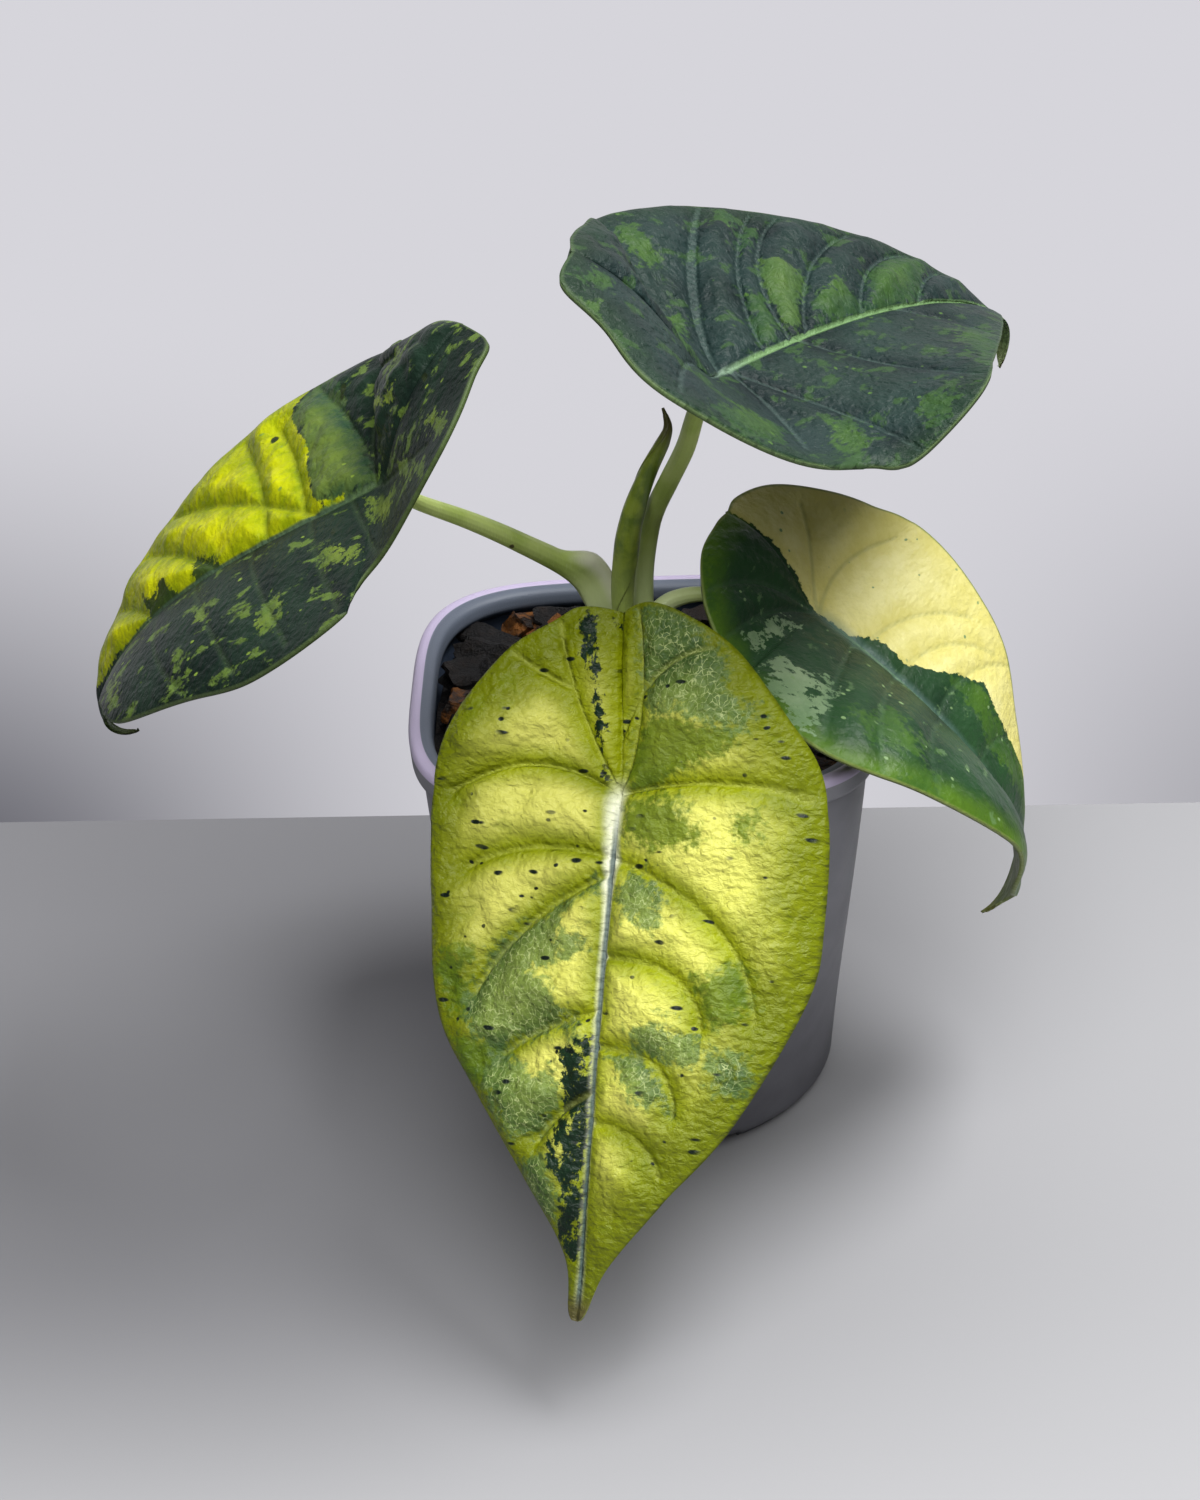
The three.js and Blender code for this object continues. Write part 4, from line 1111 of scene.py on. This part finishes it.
def stalk_finish(name, settings, pale=0.0, wing=0.0):
    """Smooth green skin, paler towards the foot, and papery where the foot has a wing."""
    finish = Finish(name, Specular_IOR_Level=0.4, Coat_Weight=0.05, Coat_Roughness=0.4)
    where = finish.place()
    along, turn = finish.attribute("along"), finish.attribute("turn")
    cloud = finish.noise(where, 9, 4)
    ridges = finish.node("ShaderNodeMath", {"operation": "SINE"}, {0: turn * 13})
    fine = finish.noise(finish.place(scale=(1, 1, 0.2)), 0.5, 3, 0.6)
    colour = finish.mix(settings.stalk, settings.stalk_deep, cloud.step(0.35, 0.7) * 0.7)
    colour = finish.mix(colour, settings.sheath, (1 - along.step(5, 24)) * (0.75 + pale))
    colour = finish.mix(colour, settings.sheath, fine.step(0.55, 0.75) * 0.25)
    thin = (1 - abs(turn - math.pi).step(0.3, 0.7)) * along.step(2, 6) * (1 - along.step(18, 24))
    colour = finish.mix(colour, settings.wing, thin * wing)
    specks = finish.flecks(finish.place(scale=(1, 1, 0.6)), 3.4, 0.06, 0.2)
    colour = finish.mix(colour, settings.speck, specks * 0.9)
    rough = 0.48 + (fine - 0.5) * 0.25
    return finish.done(Base_Color=colour, Roughness=rough, Normal=finish.bump(ridges * 0.12 + fine, 0.12))


def rolled_finish(settings):
    """The rolled leaf's patched green skin, with a dry tip and a line along its free edge."""
    finish = Finish("rolled_leaf", Specular_IOR_Level=0.5)
    where = finish.place()
    along, turn = finish.attribute("along"), finish.attribute("turn")
    cloud = finish.noise(where, 6, 4, 0.6)
    fine = finish.noise(finish.place(scale=(1, 1, 0.15)), 0.6, 3, 0.6)
    colour = finish.mix(settings.spear, settings.spear_deep, cloud.step(0.4, 0.62))
    colour = finish.mix(colour, settings.stalk, (1 - along.step(4, 26)) * 0.75)
    colour = finish.mix(colour, settings.spear_tip, along.step(44, 53))
    colour = finish.mix(colour, settings.speck, (1 - abs(turn - 6.2).step(0.02, 0.12)) * 0.5)
    return finish.done(Base_Color=colour, Roughness=0.42 + (fine - 0.5) * 0.2, Normal=finish.bump(fine, 0.15))


def make_crown(settings):
    """The short stem: old leaf bases wrapped round it in low ridges, closed over at the top."""
    rows = 60
    spots = spline(CROWN_SECTION, np.linspace(0, 1, rows + 1))

    def place(x, y):
        radius, z = spots[np.round(y * rows).astype(int)].T
        angle = 2 * np.pi * x
        ridges = 0.06 * np.cos(3 * angle + z * 0.12) + 0.025 * np.cos(8 * angle - z * 0.3)
        rings = 0.02 * np.sin(z * 1.7 + 2 * np.sin(angle))
        radius = np.maximum(radius, 0) * np.clip(0.95 + ridges + rings, 0, 1.02)
        points = np.stack([CROWN_X + radius * np.cos(angle), CROWN_Y + radius * np.sin(angle), z], 1)
        return {"points": points, "fields": {"along": np.maximum(0, CROWN_TOP - z) * 0.4, "turn": angle}}

    finish = stalk_finish("crown_skin", settings, pale=0.1)
    finished(outward(grid_mesh(64, rows, place)), "stem", "stalk", finish, replaces=["crown"])


def ridge(x, middle, width):
    """A rounded ridge, by shares of the way round a stem."""
    return np.exp(-(((x - middle) / width) ** 2))


def clasping(share, x):
    """A stalk's foot is a shallow channel whose two edges stand out."""
    edges = ridge(x, 0.18, 0.06) + ridge(x, 0.82, 0.06)
    return 1 + 0.3 * edges * np.clip(1 - share / 0.3, 0, 1)


def winged(share, x):
    """The left stalk's foot has a thin wing on its inner side, against the rolled leaf."""
    reach = smooth(share / 0.08) * (1 - smooth((share - 0.22) / 0.1))
    return clasping(share, x) + 1.5 * reach * ridge(x, 0.5, 0.09)


def rolled(share, x):
    """A leaf rolled round itself: its free edge lies on top and winds up the roll."""
    climb = 0.13 * np.clip((0.985 - x) / 0.015, 0, 1) * x
    return (0.93 + climb) * np.where(share > 0.97, 0.9, 1)


def stalk_route(name, route):
    """A stalk's route with its end, which stands square under the fold of its blade."""
    blade = BLADES[name]
    end, half = np.array(blade["joint"]), math.radians(blade["fold"][0] / 2)
    down = lie_of(blade) @ np.array([-math.sin(half), 0, -math.cos(half)])
    coming = np.array(route[-1]) - end
    down = blend(down, coming / np.linalg.norm(coming), 0.3)
    down /= np.linalg.norm(down)
    return [*route, end + down * 3.5, end + down * 0.7]


# Panel settings.


def colour(name, about, *tone):
    return bpy.props.FloatVectorProperty(
        name=name, description=about, default=paint(tone), min=0, max=1, size=3, subtype="COLOR"
    )


def count(name, about, default, low, high):
    return bpy.props.IntProperty(name=name, description=about, default=default, min=low, max=high)


def amount(name, about, default, low=0.0, high=10.0):
    return bpy.props.FloatProperty(name=name, description=about, default=default, min=low, max=high)


class AlocasiaPot(bpy.types.PropertyGroup):
    columns: count("Columns", "Faces round the pot", 240, 24, 400)
    wall: colour("Wall", "Outside of the pot", 120, 120, 127)
    bead: colour("Bead", "Rounded outer edge of the lip", 176, 165, 192)
    band: colour("Band", "Flat inner band of the lip", 100, 107, 120)
    # Painted shade: the inside is coloured darker than the outside plastic.
    inner: colour("Inside", "Inner wall of the pot", 48, 58, 74)


class AlocasiaMix(bpy.types.PropertyGroup):
    chips: count("Chips", "Bark and charcoal chips on the bed", 190, 0, 300)
    seed: count("Seed", "Start of the chips' random places", 7, 1, 1000)
    dark: colour("Charcoal", "Most of the mix", 15, 14, 15)
    brown: colour("Bark", "Brown faces of the bark", 46, 36, 30)
    orange: colour("Fresh bark", "A few fresh faces of the bark", 112, 68, 24)
    dust: colour("Dust", "Dry fibres", 72, 66, 62)


class AlocasiaStems(bpy.types.PropertyGroup):
    stalk: colour("Stalk", "Leaf stalks", 174, 190, 108)
    stalk_deep: colour("Stalk shade", "Deeper parts of the stalks", 144, 166, 72)
    sheath: colour("Sheath", "Pale foot of a stalk", 196, 206, 160)
    wing: colour("Wing", "Thin papery wing on the left stalk's foot", 196, 196, 176)
    speck: colour("Speck", "Dark flecks and cut marks", 58, 44, 28)
    spear: colour("Rolled leaf", "Outside of the rolled leaf", 120, 136, 42)
    spear_deep: colour("Rolled leaf patches", "Darker patches of the rolled leaf", 84, 104, 30)
    spear_tip: colour("Rolled tip", "Drying tip of the rolled leaf", 74, 70, 26)


class AlocasiaBlades(bpy.types.PropertyGroup):
    columns: count("Columns", "Faces across a blade", 110, 16, 120)
    rows: count("Rows", "Faces along a blade", 230, 32, 260)
    thickness: bpy.props.FloatProperty(
        name="Thickness", description="Thickness of a blade", default=0.95 * MM, min=0.4 * MM,
        unit="LENGTH",
    )
    quilt: amount("Quilt", "How far the skin swells between the veins", 1.0)


class AlocasiaStage(bpy.types.PropertyGroup):
    floor: colour("Floor", "Plain floor", 158, 158, 160)
    floor_shade: colour("Floor shade", "The floor behind the plant and to its left", 112, 112, 115)
    wall: colour("Surround", "Plain pale surround", 214, 213, 219)
    wall_shade: colour("Surround shade", "The surround's lower corners", 96, 96, 104)
    key: amount("Key", "Power of the large soft light", 12.9, 0, 200)
    fill: amount("Fill", "Power of the light from the front", 15.0, 0, 100)
    surround: amount("Surround light", "Strength of the pale surround", 0.14, 0, 5)


SETTINGS = {
    "alocasia_pot": AlocasiaPot,
    "alocasia_mix": AlocasiaMix,
    "alocasia_stems": AlocasiaStems,
    "alocasia_blades": AlocasiaBlades,
    "alocasia_stage": AlocasiaStage,
}


class MakePot(bpy.types.Operator):
    """Make the nursery pot with its lip, foot and drain slots"""

    bl_idname = "alocasia.make_pot"
    bl_label = "Pot"

    def execute(self, context):
        make_pot(context.scene.alocasia_pot)
        return {"FINISHED"}


class MakeMix(bpy.types.Operator):
    """Make the damp bed of mix and its bark chips"""

    bl_idname = "alocasia.make_mix"
    bl_label = "Potting mix"

    def execute(self, context):
        make_bed(context.scene.alocasia_mix)
        make_chips(context.scene.alocasia_mix)
        return {"FINISHED"}


class MakeStems(bpy.types.Operator):
    """Make the short stem and the four leaf stalks"""

    bl_idname = "alocasia.make_stems"
    bl_label = "Stem and stalks"

    def execute(self, context):
        settings = context.scene.alocasia_stems
        make_crown(settings)
        plain = stalk_finish("stalk_skin", settings)
        with_wing = stalk_finish("stalk_skin_winged", settings, wing=0.85)
        for name, (route, radii) in STALKS.items():
            section, finish = (winged, with_wing) if name == "left" else (clasping, plain)
            bm = make_stem(stalk_route(name, route), radii, section)
            finished(bm, f"stalk_{name}", "stalk", finish, replaces=[f"petiole_{name}"])
        return {"FINISHED"}


class MakeNewLeaf(bpy.types.Operator):
    """Make the new leaf, rolled up tight"""

    bl_idname = "alocasia.make_new_leaf"
    bl_label = "New leaf"

    def execute(self, context):
        finish = rolled_finish(context.scene.alocasia_stems)
        bm = make_stem(*NEW_LEAF, rolled, columns=96, rows=200, twist=1.35)
        finished(bm, "rolled_leaf", "new_leaf", finish, replaces=["new_leaf"])
        return {"FINISHED"}


class MakeBlades(bpy.types.Operator):
    """Make the four blades with their ribs, creases and patches of colour"""

    bl_idname = "alocasia.make_blades"
    bl_label = "Blades"

    def execute(self, context):
        settings = context.scene.alocasia_blades
        for name, blade in BLADES.items():
            look = LOOKS[name]
            skins = [
                blade_finish(f"leaf_{name}_{face}", look, blade["length"], face == "back")
                for face in ("face", "back")
            ]
            bm = make_blade(blade, MARKS[name], settings)
            finished(bm, f"blade_{name}", look["slot"], *skins, replaces=[f"leaf_{name}"])
        return {"FINISHED"}


class MakeStage(bpy.types.Operator):
    """Make the floor, the surround, the lights and the camera"""

    bl_idname = "alocasia.make_stage"
    bl_label = "Stage"

    def execute(self, context):
        settings = context.scene.alocasia_stage
        make_floor(settings)
        make_surround(context.scene, settings)
        make_light("key_light", settings.key, **KEY_LIGHT)
        make_light("front_light", settings.fill, **FRONT_LIGHT)
        make_camera(context.scene)
        return {"FINISHED"}


def make_floor(settings):
    """A floor that ends a little behind the pot, with painted shade round the plant, most to its left."""
    bm = bmesh.new()
    bmesh.ops.create_grid(bm, x_segments=1, y_segments=1, size=1)
    for vert in bm.verts:
        side = "right" if vert.co.x > 0 else "left"
        vert.co = (vert.co.x * FLOOR_SIDE, FLOOR_BACK[side] if vert.co.y > 0 else FLOOR_FRONT, 0)
    finish = Finish("floor", Roughness=0.85, Specular_IOR_Level=0.2)
    x, y, _ = finish.axes()
    # Painted shade: the floor darkens round and behind the plant, most to its left.
    dim = ((0 - x).step(-0.15, 0.12) * 0.7 + 0.25) * y.step(-0.19, -0.07)
    finish.done(Base_Color=finish.mix(settings.floor, settings.floor_shade, dim))
    placed(bm, "floor", finish.material)


def make_surround(scene, settings):
    """A pale glowing wall well behind the plant, and a weaker light from all round."""
    bm = bmesh.new()
    bmesh.ops.create_grid(bm, x_segments=1, y_segments=1, size=BACKDROP_HALF)
    bmesh.ops.rotate(bm, verts=bm.verts, matrix=Matrix.Rotation(math.radians(90), 3, "X"))
    bmesh.ops.translate(bm, verts=bm.verts, vec=(0, BACKDROP_DISTANCE, 0))
    glow = Finish("backdrop", Base_Color=(0, 0, 0), Roughness=1, Specular_IOR_Level=0, Emission_Strength=1)
    x, _, z = glow.axes()
    # Painted shade: the surround dims towards its lower left and lower right.
    shade = (0 - x).step(0.1, 0.9) * 0.9 + x.step(0.3, 0.9) * 0.4 + 0.08
    shade = shade * (1 - z.step(-1.4, -0.6))
    glow.done(Emission_Color=glow.mix(settings.wall, settings.wall_shade, shade))
    placed(bm, "backdrop", glow.material)
    world = bpy.data.worlds.new("surround")
    world.use_nodes = True
    background = world.node_tree.nodes["Background"]
    background.inputs["Color"].default_value = (*settings.wall, 1)
    background.inputs["Strength"].default_value = settings.surround
    scene.world = world
    scene.view_settings.view_transform = "Standard"


def make_light(name, power, place, target, size):
    """A round soft light, turned towards its target."""
    light = bpy.data.lights.new(name, "AREA")
    light.shape, light.size, light.energy = "DISK", size, power
    lamp = bpy.data.objects.new(name, light)
    lamp.location = place
    lamp.rotation_euler = (Vector(target) - Vector(place)).to_track_quat("-Z", "Y").to_euler()
    bpy.context.scene.collection.objects.link(lamp)


def make_camera(scene):
    """A camera a little above the plant, looking down on it."""
    lens = bpy.data.cameras.new("camera")
    lens.lens, lens.sensor_width, lens.clip_start = FOCAL_LENGTH, SENSOR_WIDTH, 0.01
    camera = bpy.data.objects.new("camera", lens)
    camera.matrix_world = Matrix.Translation(CAMERA_PLACE)
    for degrees, axis in ((CAMERA_YAW, "Z"), (90 - CAMERA_DOWN, "X"), (CAMERA_ROLL, "Z")):
        camera.matrix_world = camera.matrix_world @ Matrix.Rotation(math.radians(degrees), 4, axis)
    scene.collection.objects.link(camera)
    scene.camera = camera


OPERATORS = (MakePot, MakeMix, MakeStems, MakeNewLeaf, MakeBlades, MakeStage)


class AlocasiaPanel(bpy.types.Panel):
    """Lists the pieces of the plant and their settings"""

    bl_idname = "VIEW3D_PT_alocasia"
    bl_label = "Potted alocasia"
    bl_space_type = "VIEW_3D"
    bl_region_type = "UI"
    bl_category = "Alocasia"

    def draw(self, context):
        for operator in OPERATORS:
            self.layout.operator(operator.bl_idname)
        for key, group in SETTINGS.items():
            box = self.layout.box()
            box.label(text=group.__name__.removeprefix("Alocasia"))
            for name in group.__annotations__:
                box.prop(getattr(context.scene, key), name)


def register():
    for item in (*SETTINGS.values(), *OPERATORS, AlocasiaPanel):
        bpy.utils.register_class(item)
    for key, group in SETTINGS.items():
        setattr(bpy.types.Scene, key, bpy.props.PointerProperty(type=group))


def unregister():
    for key in SETTINGS:
        delattr(bpy.types.Scene, key)
    for item in reversed((*SETTINGS.values(), *OPERATORS, AlocasiaPanel)):
        bpy.utils.unregister_class(item)


def plain(box):
    """A box as plain lists of numbers."""
    return [[float(x) for x in corner] for corner in box]


def main():
    register()
    bpy.ops.alocasia.make_pot()
    bpy.ops.alocasia.make_mix()
    bpy.ops.alocasia.make_stems()
    bpy.ops.alocasia.make_new_leaf()
    bpy.ops.alocasia.make_blades()
    bpy.ops.alocasia.make_stage()


if __name__ == "__main__":
    main()
